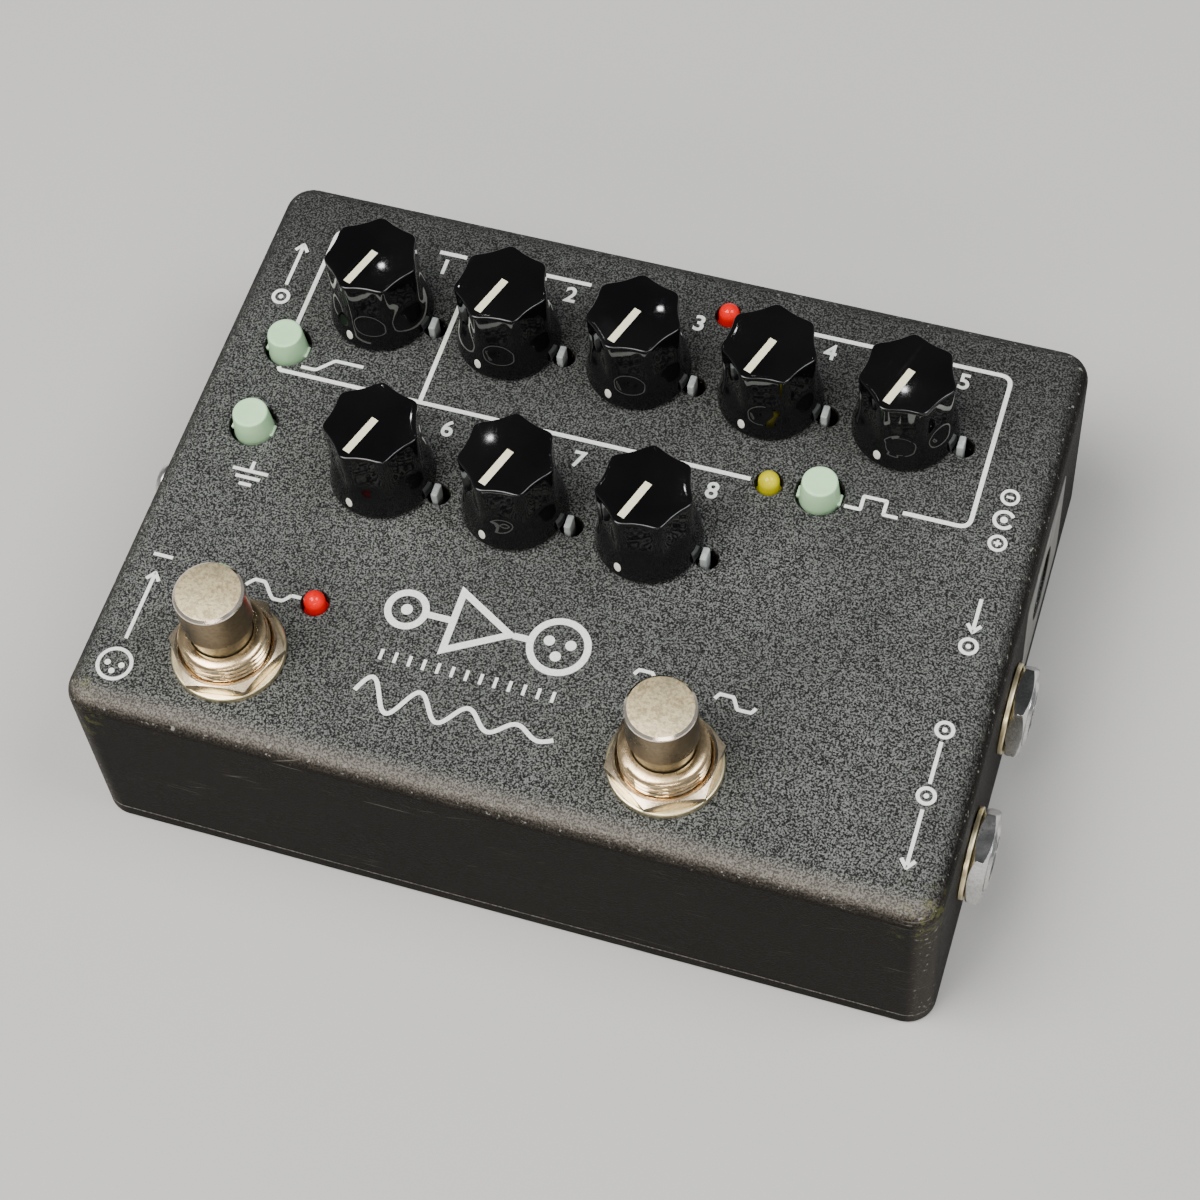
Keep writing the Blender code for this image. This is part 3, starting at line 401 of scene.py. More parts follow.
def between(tree, value, low, high, to_low=0.0, to_high=1.0):
    """The value's place between two bounds, clamped."""
    node = tree.nodes.new("ShaderNodeMapRange")
    feed(tree, node.inputs["Value"], value)
    for label, bound in (("From Min", low), ("From Max", high), ("To Min", to_low), ("To Max", to_high)):
        feed(tree, node.inputs[label], bound)
    return node.outputs["Result"]


def maths(tree, operation, first, second=0.0):
    node = tree.nodes.new("ShaderNodeMath")
    node.operation = operation
    feed(tree, node.inputs[0], first)
    feed(tree, node.inputs[1], second)
    return node.outputs["Value"]


def blend_colour(tree, share, first, second):
    node = tree.nodes.new("ShaderNodeMix")
    node.data_type = "RGBA"
    feed(tree, node.inputs["Factor"], share)
    feed(tree, node.inputs[6], first)
    feed(tree, node.inputs[7], second)
    return node.outputs[2]


def axes(tree, vector):
    node = tree.nodes.new("ShaderNodeSeparateXYZ")
    feed(tree, node.inputs["Vector"], vector)
    return node.outputs["X"], node.outputs["Y"], node.outputs["Z"]


# %% Grain: a fine mottle, a coarse drift and the height that goes with them
def make_grain_group():
    tree, given, made = group_tree(
        "grain", [("Place", None), ("Scale", 2500.0), ("Drift Scale", 60.0)], ["Fine", "Drift", "Height"]
    )
    fine = noise(tree, given.outputs["Place"], given.outputs["Scale"], 2.0, 0.6)
    coarse = noise(tree, given.outputs["Place"], given.outputs["Drift Scale"], 4.0, 0.55)
    feed(tree, made.inputs["Fine"], between(tree, fine, 0.43, 0.63))
    feed(tree, made.inputs["Drift"], between(tree, coarse, 0.35, 0.65))
    feed(tree, made.inputs["Height"], fine)
    return tree


GRAIN = make_grain_group()


# %% Scratches: long thin marks, sparse, that run mostly one way
def make_scratch_group():
    tree, given, made = group_tree("scratches", [("Place", None), ("Amount", 0.5)], ["Mask"])
    place = given.outputs["Place"]
    streaks = noise(tree, place, 1.0, 2.0, 0.6, (60.0, 60.0, 2600.0))
    slanted = tree.nodes.new("ShaderNodeMapping")
    feed(tree, slanted.inputs["Vector"], place)
    slanted.inputs["Rotation"].default_value = (0.12, 0.35, 0.2)
    crossing = noise(tree, slanted.outputs["Vector"], 1.0, 2.0, 0.6, (70.0, 70.0, 3200.0))
    where = between(tree, noise(tree, place, 130.0, 3.0), 0.52, 0.66)
    lines = maths(tree, "ADD", between(tree, streaks, 0.66, 0.72), between(tree, crossing, 0.66, 0.72))
    shown = maths(tree, "MULTIPLY", lines, where)
    feed(tree, made.inputs["Mask"], maths(tree, "MULTIPLY", shown, given.outputs["Amount"]))
    return tree


SCRATCHES = make_scratch_group()


# %% Worn rims: specks of bare metal where a surface turns from one face to the next
def make_rim_group():
    tree, given, made = group_tree(
        "worn_rims", [("Place", None), ("Normal", None), ("Scale", 900.0), ("Wear", 0.5)], ["Rim", "Chips"]
    )
    x, y, z = axes(tree, given.outputs["Normal"])
    largest = maths(tree, "MAXIMUM", maths(tree, "ABSOLUTE", x), maths(tree, "ABSOLUTE", y))
    largest = maths(tree, "MAXIMUM", largest, maths(tree, "ABSOLUTE", z))
    rim = between(tree, largest, 0.995, 0.90)
    specks = noise(tree, given.outputs["Place"], given.outputs["Scale"], 3.0, 0.65)
    limit = between(tree, given.outputs["Wear"], 0.0, 1.0, 0.80, 0.45)
    above = maths(tree, "SUBTRACT", specks, limit)
    feed(tree, made.inputs["Rim"], rim)
    feed(tree, made.inputs["Chips"], maths(tree, "MULTIPLY", between(tree, above, 0.0, 0.05), rim))
    return tree


WORN_RIMS = make_rim_group()
print("groups:", [tree.name for tree in bpy.data.node_groups])


# %% Starting a material
class Finish:
    """A material with its Principled shader, the place on the piece, and helpers to fill it."""

    def __init__(self, name, roughness=0.5, metallic=0.0):
        self.material = bpy.data.materials.new(name)
        self.material.use_nodes = True
        self.tree = self.material.node_tree
        self.shader = self.tree.nodes["Principled BSDF"]
        self.shader.inputs["Roughness"].default_value = roughness
        self.shader.inputs["Metallic"].default_value = metallic
        coordinates = self.tree.nodes.new("ShaderNodeTexCoord")
        self.place = coordinates.outputs["Object"]
        self.normal = coordinates.outputs["Normal"]

    def group(self, tree, **values):
        node = self.tree.nodes.new("ShaderNodeGroup")
        node.node_tree = tree
        for socket in node.inputs:
            if socket.name == "Place":
                feed(self.tree, socket, self.place)
            elif socket.name == "Normal":
                feed(self.tree, socket, self.normal)
        for label, value in values.items():
            feed(self.tree, node.inputs[label.replace("_", " ").title()], value)
        return node.outputs

    def colour(self, value):
        feed(self.tree, self.shader.inputs["Base Color"], value)

    def roughness(self, value):
        feed(self.tree, self.shader.inputs["Roughness"], value)

    def bump(self, height, depth, strength=1.0):
        node = self.tree.nodes.new("ShaderNodeBump")
        node.inputs["Distance"].default_value = depth
        node.inputs["Strength"].default_value = strength
        feed(self.tree, node.inputs["Height"], height)
        feed(self.tree, self.shader.inputs["Normal"], node.outputs["Normal"])


# %% [markdown]
# ## The powder coat
# The box is sprayed with a black texture coat: a matt ground with a tight pale speckle about a third of a
# millimetre across. On the panel the ground and speckle are painted lighter than on the walls, which stay near
# black: painted light on the top face and painted shade on the sides. A drift of dust clouds the panel, which is
# also painted brighter towards the front, a painted sheen. Along the front rim the coat is rubbed to a light brown,
# and a pale band along the rim's upper edge is a painted highlight. One noise drives both the speckle and the bump,
# so that what looks raised also catches the light.


# %% Powder coat
def make_powder_coat():
    finish = Finish("black_powder_coat", roughness=0.6)
    tree = finish.tree
    x, y, z = axes(tree, finish.place)
    upward = axes(tree, finish.normal)[2]
    grain = finish.group(GRAIN, scale=3900.0, drift_scale=38.0)
    # Faces that look up get a lighter ground and speckle than the walls: painted light on the panel, painted shade on
    # the walls.
    facing_up = between(tree, upward, 0.55, 0.98)
    painted_light_ground = blend_colour(tree, facing_up, (0.0022, 0.0018, 0.0013), (0.0100, 0.0104, 0.0101))
    painted_light_speckle = blend_colour(tree, facing_up, (0.014, 0.011, 0.008), (0.190, 0.197, 0.187))
    # The drift is dust. The rise from the rear of the panel to its front is a painted sheen.
    dust_and_front_sheen = between(tree, grain["Drift"], 0.0, 1.0, 0.75, 1.0)
    painted_front_sheen = between(tree, y, 0.045, 0.0, 0.45, 1.0)
    dust_and_front_sheen = maths(tree, "MULTIPLY", dust_and_front_sheen, painted_front_sheen)
    coat = blend_colour(tree, maths(tree, "MULTIPLY", grain["Fine"], dust_and_front_sheen), painted_light_ground, painted_light_speckle)
    rims = finish.group(WORN_RIMS, scale=1300.0, wear=0.48)
    front = between(tree, y, -0.038, -0.0435)
    rubbed = maths(tree, "MULTIPLY", rims["Rim"], front)
    rubbed = maths(tree, "MULTIPLY", rubbed, between(tree, grain["Fine"], 0.0, 1.0, 0.15, 0.75))
    coat = blend_colour(tree, rubbed, coat, (0.075, 0.064, 0.053))
    coat = blend_colour(tree, maths(tree, "MULTIPLY", rims["Chips"], 0.7), coat, (0.34, 0.33, 0.30))
    corners = maths(tree, "MULTIPLY", between(tree, maths(tree, "ABSOLUTE", x), 0.0530, 0.0580), front)
    corners = maths(tree, "MULTIPLY", corners, between(tree, z, 0.0225, 0.0275))
    scuffs = maths(tree, "MULTIPLY", corners, between(tree, noise(tree, finish.place, 700.0, 4.0, 0.7), 0.54, 0.62))
    coat = blend_colour(tree, maths(tree, "MULTIPLY", scuffs, 0.6), coat, (0.13, 0.14, 0.035))
    # A pale band along the upper edge of the front rim: a painted highlight.
    edge = between(tree, y, -0.0414, -0.0441)
    edge = maths(tree, "MULTIPLY", edge, between(tree, upward, 0.50, 0.80))
    painted_edge_highlight = maths(tree, "MULTIPLY", edge, between(tree, grain["Fine"], 0.0, 1.0, 0.25, 0.8))
    coat = blend_colour(tree, painted_edge_highlight, coat, (0.27, 0.245, 0.215))
    walls = maths(tree, "SUBTRACT", 1.0, facing_up)
    scratches = maths(tree, "MULTIPLY", finish.group(SCRATCHES, amount=0.9)["Mask"], walls)
    coat = blend_colour(tree, scratches, coat, (0.13, 0.12, 0.10))
    finish.colour(coat)
    finish.roughness(between(tree, grain["Fine"], 0.0, 1.0, 0.52, 0.72))
    finish.bump(grain["Height"], 0.12 * MM, 1.0)
    finish.shader.inputs["Specular IOR Level"].default_value = 0.08
    return finish.material


POWDER_COAT = make_powder_coat()

# %% [markdown]
# ## The box
# A die-cast shell, open below, with walls that lean out a little so that it leaves its mould. It could be
# subdivided from a cage, but bevelled edges on a plain block give true radii. The holes are cut last, each with a
# slightly dished lip, because paint pulls back from a drilled edge.

# %% Enclosure
DRAFT = 0.0144
WALL = 2.2 * MM
PANEL = 2.2 * MM
CORNER_RADIUS = 4.06 * MM
TOP_FILLET = 3.33 * MM
BOX_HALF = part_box("enclosure")[1]
TOP_HALF_X = BOX_HALF.x - DRAFT * (PANEL_Z - SEAM_Z)
TOP_HALF_Y = BOX_HALF.y - DRAFT * (PANEL_Z - SEAM_Z)
LIP = 0.22 * MM


def half_x(z):
    return TOP_HALF_X + DRAFT * (PANEL_Z - z)


def drafted_block(name, bottom, top, inset, corner, fillet, segments):
    def build(bm):
        size = Matrix.Diagonal((2.0, 2.0, top - bottom, 1.0))
        verts = bmesh.ops.create_cube(bm, size=1.0, matrix=Matrix.Translation((0, 0, (top + bottom) / 2)) @ size)
        for vert in verts["verts"]:
            lean = DRAFT * (PANEL_Z - vert.co.z) - inset
            vert.co.x = math.copysign(TOP_HALF_X + lean, vert.co.x)
            vert.co.y = math.copysign(TOP_HALF_Y + lean, vert.co.y)
        centre = (top + bottom) / 2
        upright = [e for e in bm.edges if (e.verts[0].co.z - centre) * (e.verts[1].co.z - centre) < 0]
        bmesh.ops.bevel(bm, geom=upright, offset=corner, segments=segments, affect="EDGES", profile=0.5)
        if fillet:
            rim = [e for e in bm.edges if min(v.co.z for v in e.verts) > top - 0.01 * MM]
            bmesh.ops.bevel(bm, geom=rim, offset=fillet, segments=segments, affect="EDGES", profile=0.5)

    return mesh_from(name, build)


def drill(radius, depth, lip=LIP, sides=48):
    """A drill that leaves a dished lip where it goes in, at height 0."""
    lip_arc = rounded([(radius + lip, MM), (radius + lip, 0.0), (radius, -lip), (radius, -depth)], lip, 3)
    profile = [(0.0, MM), *[tuple(point) for point in lip_arc], (0.0, -depth)]
    return turned("drill", profile, sides)


BUTTON_HOLE = 3.3 * MM
LAMP_HOLE = 1.85 * MM
FOOT_THREAD = 6.0 * MM
BUSHING = 3.5 * MM
TAB_PLACE = Vector((8.1 * MM, -1.0 * MM, 0.0))
TAB_HOLE = 1.5 * MM
TAB_HOLE_SHIFT = Vector((0.3 * MM, 0.0, 0.0))
JACK_THREAD = 4.7 * MM
XLR_BARREL = 9.7 * MM
XLR_SCREW_HOLE = 1.6 * MM
POWER_NOSE = 4.6 * MM
CLEAR = 0.3 * MM


def panel_drills():
    drills = []
    through = 4 * MM
    for spot in KNOB_SPOTS.values():
        drills.append((spot, BUSHING + CLEAR))
        drills.append((spot + TAB_PLACE + TAB_HOLE_SHIFT, TAB_HOLE))
    drills += [(on_panel(f"button_{name}"), BUTTON_HOLE) for name in BUTTON_NAMES]
    drills += [(on_panel(f"lamp_{name}"), LAMP_HOLE) for name in LAMP_NAMES]
    drills += [(on_panel(f"foot_plunger_{name}"), FOOT_THREAD + CLEAR) for name in FOOT_NAMES]
    return [moved(drill(radius, through), Matrix.Translation(spot)) for spot, radius in drills]


def wall_drills():
    drills = [(side, middle(f"jack_{name}"), JACK_THREAD + CLEAR) for name, side in JACK_SIDES.items()]
    drills.append((-1, middle("xlr_socket"), XLR_BARREL + CLEAR))
    drills += [(-1, middle(f"xlr_screw_{count}"), XLR_SCREW_HOLE) for count in (1, 2)]
    drills.append((1, middle("power_socket"), POWER_NOSE + CLEAR))
    through = WALL + MM
    return [
        moved(drill(radius, through), out_of_wall(side, spot.y, spot.z, half_x(spot.z)))
        for side, spot, radius in drills
    ]


def make_enclosure():
    shell = drafted_block("enclosure", SEAM_Z, PANEL_Z, 0.0, CORNER_RADIUS, TOP_FILLET, 10)
    cavity = drafted_block("cavity", SEAM_Z - MM, PANEL_Z - PANEL, WALL, CORNER_RADIUS - WALL / 2, 2 * MM, 4)
    cuts = [("DIFFERENCE", merged("drills", *panel_drills())), ("DIFFERENCE", merged("drills", *wall_drills()))]
    mesh = smooth(carved("enclosure_shell", shell, ("DIFFERENCE", cavity), *cuts), 28.0)
    return even_normals(piece("enclosure_shell", mesh, POWDER_COAT, "housing", ["enclosure"]))


shell = make_enclosure()
print("enclosure shell:", len(shell.data.polygons), "faces")


# %% Base plate and its screws
SCREW_HEAD = 2.9 * MM
SCREW_SHANK = 1.35 * MM
SCREW_CONE = 1.9 * MM
SCREW_SUNK = 0.15 * MM
BASE_EDGE = 0.5 * MM
SCREW_SPOTS = [middle(f"base_screw_{count}") for count in (1, 2, 3, 4)]
BASE_THICKNESS = 2.4 * MM


def make_base_plate():
    def soften(bm):
        bm.from_mesh(drafted_block("plate", 0.0, BASE_THICKNESS, 0.0, CORNER_RADIUS, 0.0, 10))
        rim = [e for e in bm.edges if max(v.co.z for v in e.verts) < 0.01 * MM]
        bmesh.ops.bevel(bm, geom=rim, offset=BASE_EDGE, segments=4, affect="EDGES", profile=0.5)

    top = BASE_THICKNESS + MM
    shank = SCREW_SHANK + CLEAR
    head = SCREW_HEAD + CLEAR
    cone = [(shank, SCREW_SUNK + SCREW_CONE), (head, -0.01 * MM)]
    profile = [(0.0, top), (shank, top), *cone, (head, -MM), (0.0, -MM)]
    sinks = [moved(turned("sink", profile, 48), Matrix.Translation((spot.x, spot.y, 0.0))) for spot in SCREW_SPOTS]
    plate = carved("bottom_plate", mesh_from("plate", soften), ("DIFFERENCE", merged("sinks", *sinks)))
    return even_normals(
        piece("bottom_plate", smooth(plate, 28.0), POWDER_COAT, "housing", ["base_plate"])
    )


make_base_plate()
print("bottom plate", BASE_THICKNESS / MM, "mm thick")

# %% [markdown]
# ## Metal finishes
# Four metals show. The foot switches are warm nickel with a gold cast, rubbed dull and dark on the cap tops where
# shoes land; the caps' sides and the stems below them are painted darker still, as painted reflection and painted
# shade. The jack nuts are bright chrome. The potentiometers' tabs are plain plated steel, and the screws are dark
# zinc. All share the grain group at their own scale: it clouds the colour and roughens the shine in patches,
# which is what makes metal look handled.


# %% Plated metals, and duller stuff
def make_moulded(name, base, pale, rough=0.45, scale=2500.0, depth=0.01 * MM):
    finish = Finish(name, roughness=rough)
    tree = finish.tree
    grain = finish.group(GRAIN, scale=scale, drift_scale=120.0)
    finish.colour(blend_colour(tree, maths(tree, "MULTIPLY", grain["Fine"], grain["Drift"]), base, pale))
    finish.roughness(between(tree, grain["Fine"], 0.0, 1.0, rough - 0.05, rough + 0.08))
    finish.bump(grain["Height"], depth, 0.5)
    return finish.material


def make_plate(name, bright, dull, rough, grain_scale, drift_scale, grain_depth=0.0, cloud=0.5, shine_spread=0.12):
    finish = Finish(name, roughness=rough, metallic=1.0)
    tree = finish.tree
    grain = finish.group(GRAIN, scale=grain_scale, drift_scale=drift_scale)
    share = maths(tree, "MULTIPLY", maths(tree, "ADD", grain["Drift"], grain["Fine"]), cloud)
    finish.colour(blend_colour(tree, share, bright, dull))
    finish.roughness(between(tree, grain["Drift"], 0.0, 1.0, rough - shine_spread / 2, rough + shine_spread))
    if grain_depth:
        finish.bump(grain["Height"], grain_depth, 0.6)
    return finish.material


NICKEL = make_plate("nickel", (0.97, 0.86, 0.55), (0.80, 0.66, 0.40), 0.32, 2500.0, 140.0, 0.006 * MM)
WORN_NICKEL = make_plate("worn_nickel", (0.92, 0.79, 0.50), (0.40, 0.32, 0.19), 0.52, 2300.0, 300.0, 0.06 * MM)
# The cap's side: nickel painted dark, a painted reflection of dark surroundings.
NICKEL_SIDE_PAINTED_DARK = make_plate("nickel_side_painted_dark", (0.30, 0.23, 0.14), (0.2, 0.145, 0.085), 0.30, 1800.0, 200.0, 0.008 * MM)
NUT_NICKEL = make_plate("nut_nickel", (0.92, 0.76, 0.54), (0.58, 0.45, 0.29), 0.24, 2500.0, 160.0, 0.006 * MM)
# The chamfer: polished by use, and its pale colour is partly a painted highlight.
BRIGHT_EDGE = make_plate("bright_edge", (0.98, 0.90, 0.80), (0.86, 0.74, 0.60), 0.16, 2200.0, 200.0, 0.003 * MM)
WARM_THREAD = make_plate("warm_thread", (0.95, 0.72, 0.42), (0.62, 0.45, 0.26), 0.20, 2200.0, 260.0, 0.006 * MM)
# Painted shade: dark metal for the stem under the cap and for the deep faces of the thread.
STEM_PAINTED_SHADE = make_plate("stem_painted_shade", (0.24, 0.22, 0.15), (0.14, 0.12, 0.08), 0.40, 2200.0, 260.0, 0.006 * MM)
CHROME = make_plate("chrome", (0.72, 0.72, 0.72), (0.46, 0.45, 0.43), 0.22, 2600.0, 160.0, 0.012 * MM)
POT_METAL = make_plate("pot_metal", (0.62, 0.61, 0.58), (0.46, 0.45, 0.42), 0.30, 2500.0, 200.0, 0.006 * MM)
SHAFT_METAL = make_plate("shaft_metal", (0.68, 0.67, 0.64), (0.52, 0.51, 0.49), 0.28, 3000.0, 200.0, 0.004 * MM)
ZINC_SCREW = make_plate("zinc_screw", (0.18, 0.18, 0.19), (0.10, 0.10, 0.10), 0.34, 2500.0, 300.0, 0.006 * MM)
TAB_ZINC = make_moulded("tab_zinc", (0.44, 0.48, 0.47), (0.62, 0.66, 0.64), 0.42, 1500.0, 0.01 * MM)
GOLD_PIN = make_plate("contact_gold", (0.85, 0.66, 0.30), (0.70, 0.50, 0.20), 0.22, 2000.0, 300.0)

# %% [markdown]
# ## Plastics and lamps
# The knobs are polished black, hard enough to keep a mirror shine but never free of fine hairlines and dust. The
# buttons are a milky pale green that lets some light in, so they get a little subsurface scattering. A lamp is
# tinted resin over a small bright chip. It could be clear glass round a chip, but that needs many samples. Here the
# lens is a saturated body with painted light: its middle is painted lighter and given a faint glow, as such a lamp
# looks when lit from above.


# %% Polished knob, moulded plastic, buttons
def make_gloss_black():
    finish = Finish("black_gloss", roughness=0.03)
    tree = finish.tree
    grain = finish.group(GRAIN, scale=700.0, drift_scale=90.0)
    hairlines = finish.group(SCRATCHES, amount=0.35)["Mask"]
    body = blend_colour(tree, grain["Drift"], (0.0030, 0.0030, 0.0034), (0.0048, 0.0046, 0.0050))
    finish.colour(blend_colour(tree, maths(tree, "MULTIPLY", hairlines, 0.25), body, (0.05, 0.05, 0.055)))
    finish.roughness(between(tree, grain["Drift"], 0.0, 1.0, 0.022, 0.036))
    finish.bump(grain["Drift"], 0.001 * MM, 0.3)
    return finish.material


def make_mint():
    finish = Finish("mint", roughness=0.38)
    tree = finish.tree
    grain = finish.group(GRAIN, scale=1800.0, drift_scale=180.0)
    finish.colour(blend_colour(tree, grain["Drift"], (0.56, 0.86, 0.52), (0.48, 0.78, 0.46)))
    finish.roughness(between(tree, grain["Fine"], 0.0, 1.0, 0.32, 0.44))
    finish.bump(grain["Height"], 0.004 * MM, 0.5)
    finish.shader.inputs["Subsurface Weight"].default_value = 0.35
    finish.shader.inputs["Subsurface Radius"].default_value = (0.6, 1.0, 0.6)
    finish.shader.inputs["Subsurface Scale"].default_value = 0.8 * MM
    return finish.material


GLOSS_BLACK = make_gloss_black()
BLACK_PLASTIC = make_moulded("black_plastic", (0.010, 0.010, 0.010), (0.022, 0.021, 0.020))
SWITCH_GREY = make_moulded("switch_grey", (0.26, 0.28, 0.29), (0.34, 0.36, 0.37))
MINT = make_mint()
POINTER_CREAM = make_moulded("pointer_cream", (0.86, 0.80, 0.56), (0.90, 0.86, 0.64), 0.4)
DOT_WHITE = make_moulded("dot_white", (0.86, 0.83, 0.74), (0.90, 0.88, 0.82), 0.4)


# %% Lamp resin
def make_resin(name, deep, bright, painted_glow):
    """Tinted resin with painted light. Towards the middle of the lens, seen from any side, its colour is painted
    lighter, and it is given a faint glow.
    """
    finish = Finish(name, roughness=0.12)
    finish.shader.inputs["Specular IOR Level"].default_value = 0.3
    tree = finish.tree
    grain = finish.group(GRAIN, scale=900.0, drift_scale=400.0)
    # A lighter middle, seen from any side: painted light.
    facing = tree.nodes.new("ShaderNodeLayerWeight")
    facing.inputs["Blend"].default_value = 0.35
    painted_light_heart = between(tree, facing.outputs["Facing"], 0.65, 0.05)
    finish.colour(blend_colour(tree, maths(tree, "MULTIPLY", painted_light_heart, grain["Drift"]), deep, bright))
    finish.roughness(between(tree, grain["Fine"], 0.0, 1.0, 0.08, 0.16))
    # A faint glow on the lens: painted light.
    feed(tree, finish.shader.inputs["Emission Color"], blend_colour(tree, painted_light_heart, deep, bright))
    finish.shader.inputs["Emission Strength"].default_value = painted_glow
    return finish.material


RED_RESIN = make_resin("red_lamp", (0.62, 0.0, 0.0), (0.95, 0.006, 0.004), 0.22)
YELLOW_RESIN = make_resin("yellow_lamp", (0.46, 0.41, 0.0), (0.70, 0.61, 0.0), 0.16)
print(len(bpy.data.materials), "materials so far")

# %% [markdown]
# ## Knobs
# Seven nearly flat flutes run down a grip and fade into a flared skirt. A Boolean could plane the flutes from a
# turned blank, but it leaves a hard edge where each flute runs out. Here every ring is a heptagon with eased
# ridges, and the heptagon melts into a circle towards the skirt. Cream paint fills a slot across the top,
# and a dot on the skirt repeats the mark.

# %% Knob shape
FLUTES = 7
KNOB_TOP = 13.0 * MM
KNOB_AROUND = 18  # points for each flute
POINTER = math.radians(-109.0)
TOP_RIDGE, TOP_FLUTE = 6.68, 5.94  # radii at the top, in millimetres
# Height above the panel, radius at a ridge, radius in the middle of a flute
KNOB_SECTIONS = [
    (12.72, TOP_RIDGE, TOP_FLUTE),
    (10.0, 6.61, 5.90),
    (7.4, 6.56, 5.90),
    (6.3, 6.56, 5.98),
    (5.6, 6.58, 6.16),
    (4.9, 6.66, 6.44),
    (4.2, 6.78, 6.70),
    (3.4, 6.96, 6.95),
    (2.2, 7.20, 7.20),
    (1.3, 7.36, 7.36),
]


def smooth_between(table, height, column):
    """A value of the table at a height, on a curve through its rows."""
    rows = sorted(table)
    heights = [row[0] for row in rows]
    height = min(max(height, heights[0]), heights[-1])
    for i in range(len(rows) - 1):
        if heights[i] <= height <= heights[i + 1]:
            break
    before, after = rows[max(i - 1, 0)], rows[min(i + 2, len(rows) - 1)]
    low, high = rows[i], rows[i + 1]
    span = high[0] - low[0]
    share = (height - low[0]) / span
    slope_low = (high[column] - before[column]) / (high[0] - before[0]) * span
    slope_high = (after[column] - low[column]) / (after[0] - low[0]) * span
    cube, square = share**3, share**2
    return (
        (2 * cube - 3 * square + 1) * low[column]
        + (cube - 2 * square + share) * slope_low
        + (3 * square - 2 * cube) * high[column]
        + (cube - square) * slope_high
    )


def fluted(ridge, flute, turn):
    """The radius of a heptagon whose sides sag a little and whose ridges are eased. A ridge lies at turn 0."""
    sector = 2 * math.pi / FLUTES
    across = abs(((turn / sector) % 1.0) * 2 - 1)  # 1 at the ridges, 0 in the middle of the flute
    ease = 0.32
    gap = (math.hypot(1.0 - across, ease) - ease) / (math.hypot(1.0, ease) - ease)
    side = math.cos(sector / 2) / math.cos((1.0 - gap) * sector / 2)
    share = (side - math.cos(sector / 2)) / (1.0 - math.cos(sector / 2))
    return flute + (ridge - flute) * share**1.15


def knob_ring(height, ridge, flute, inset=0.0):
    total = FLUTES * KNOB_AROUND
    points = []
    for count in range(total):
        turn = 2 * math.pi * count / total
        radius = fluted(ridge, flute, turn) - inset
        points.append((radius * math.cos(turn) * MM, radius * math.sin(turn) * MM, height * MM))
    return points


def knob_mesh():
    rings = [[(0.0, 0.0, KNOB_TOP)]]
    bevel, dome = 0.26, 0.05
    edge = KNOB_TOP / MM - dome

    def domed(inset, drop):
        flat = knob_ring(KNOB_TOP / MM - drop, TOP_RIDGE, TOP_FLUTE, inset)
        return [(x, y, z - dome * MM * (math.hypot(x, y) / (6.7 * MM)) ** 2) for x, y, z in flat]

    for inset in (5.0, 4.2, 3.4, 2.6, 1.8, 1.0, 0.5):
        rings.append(domed(inset, 0.0))
    for inset, drop in ((0.26, 0.005), (0.15, 0.025), (0.07, 0.07), (0.02, 0.14)):
        rings.append(domed(inset, drop))
    steps = 30
    for count in range(steps + 1):
        height = (edge - bevel) + (1.3 - (edge - bevel)) * count / steps
        ridge = smooth_between(KNOB_SECTIONS, height, 1)
        flute = smooth_between(KNOB_SECTIONS, height, 2)
        rings.append(knob_ring(height, ridge, flute))
    for radius, height in ((7.41, 1.0), (7.42, 0.8), (7.38, 0.66), (7.25, 0.6), (6.35, 0.6), (6.25, 0.7)):
        rings.append(knob_ring(height, radius, radius))
    for radius, height in ((6.22, 2.45), (4.1, 2.45), (4.1, 5.3), (3.3, 5.3), (3.3, 10.9)):
        rings.append(knob_ring(height, radius, radius))
    return smooth(skin("knob", rings), 40.0)


def pointer_mesh():
    """The paint in the knob's slot: a bar from just behind the middle to just inside the rim."""
    low = (-0.75 * MM, -0.54 * MM, KNOB_TOP - 0.4 * MM)
    return block("pointer", low, (5.55 * MM, 0.54 * MM, KNOB_TOP + 0.02 * MM), 0.03 * MM, 2)


def skirt_dot_mesh():
    """A domed spot of paint that lies on the flare of the skirt."""
    height, tall, wide, proud = 2.35, 0.80, 0.56, 0.035
    sides = 24

    def point(share, turn, lift):
        z = height + tall * share * math.sin(turn)
        radius = smooth_between(KNOB_SECTIONS, z, 1) + lift
        aside = wide * share * math.cos(turn) / radius
        return (radius * math.cos(aside) * MM, radius * math.sin(aside) * MM, z * MM)

    turns = [2 * math.pi * count / sides for count in range(sides)]
    rings = [[point(0.0, 0.0, proud)]]
    for share, lift in ((0.6, proud), (0.9, proud * 0.8), (1.0, 0.0), (1.0, -0.08)):
        rings.append([point(share, turn, lift) for turn in turns])
    rings.append([point(0.0, 0.0, -0.08)])
    return smooth(skin("skirt_dot", rings), 60.0)


def make_knobs():
    knob, pointer, dot = knob_mesh(), pointer_mesh(), skirt_dot_mesh()
    for name, spot in KNOB_SPOTS.items():
        body = f"knob_{name}"
        place = Matrix.Translation(spot) @ Matrix.Rotation(POINTER, 4, "Z")
        piece(f"grip_{name}", moved(knob.copy(), place), GLOSS_BLACK, body, [body])
        piece(f"pointer_{name}", moved(pointer.copy(), place), POINTER_CREAM, body)
        piece(f"skirt_dot_{name}", moved(dot.copy(), place), DOT_WHITE, body)
    return len(knob.vertices)


print("each knob has", make_knobs(), "points")


# %% [markdown]
# ## Cut threads and hex nuts
# A thread is a ramp wrapped round a rod. The helper gives each ring of points the height of that ramp at its angle,
# so the groove climbs by one pitch in a turn, as on a real screw. A nut is a six-sided bar cut by a turned barrel,
# which is how its corners get their curved chamfers in a lathe.


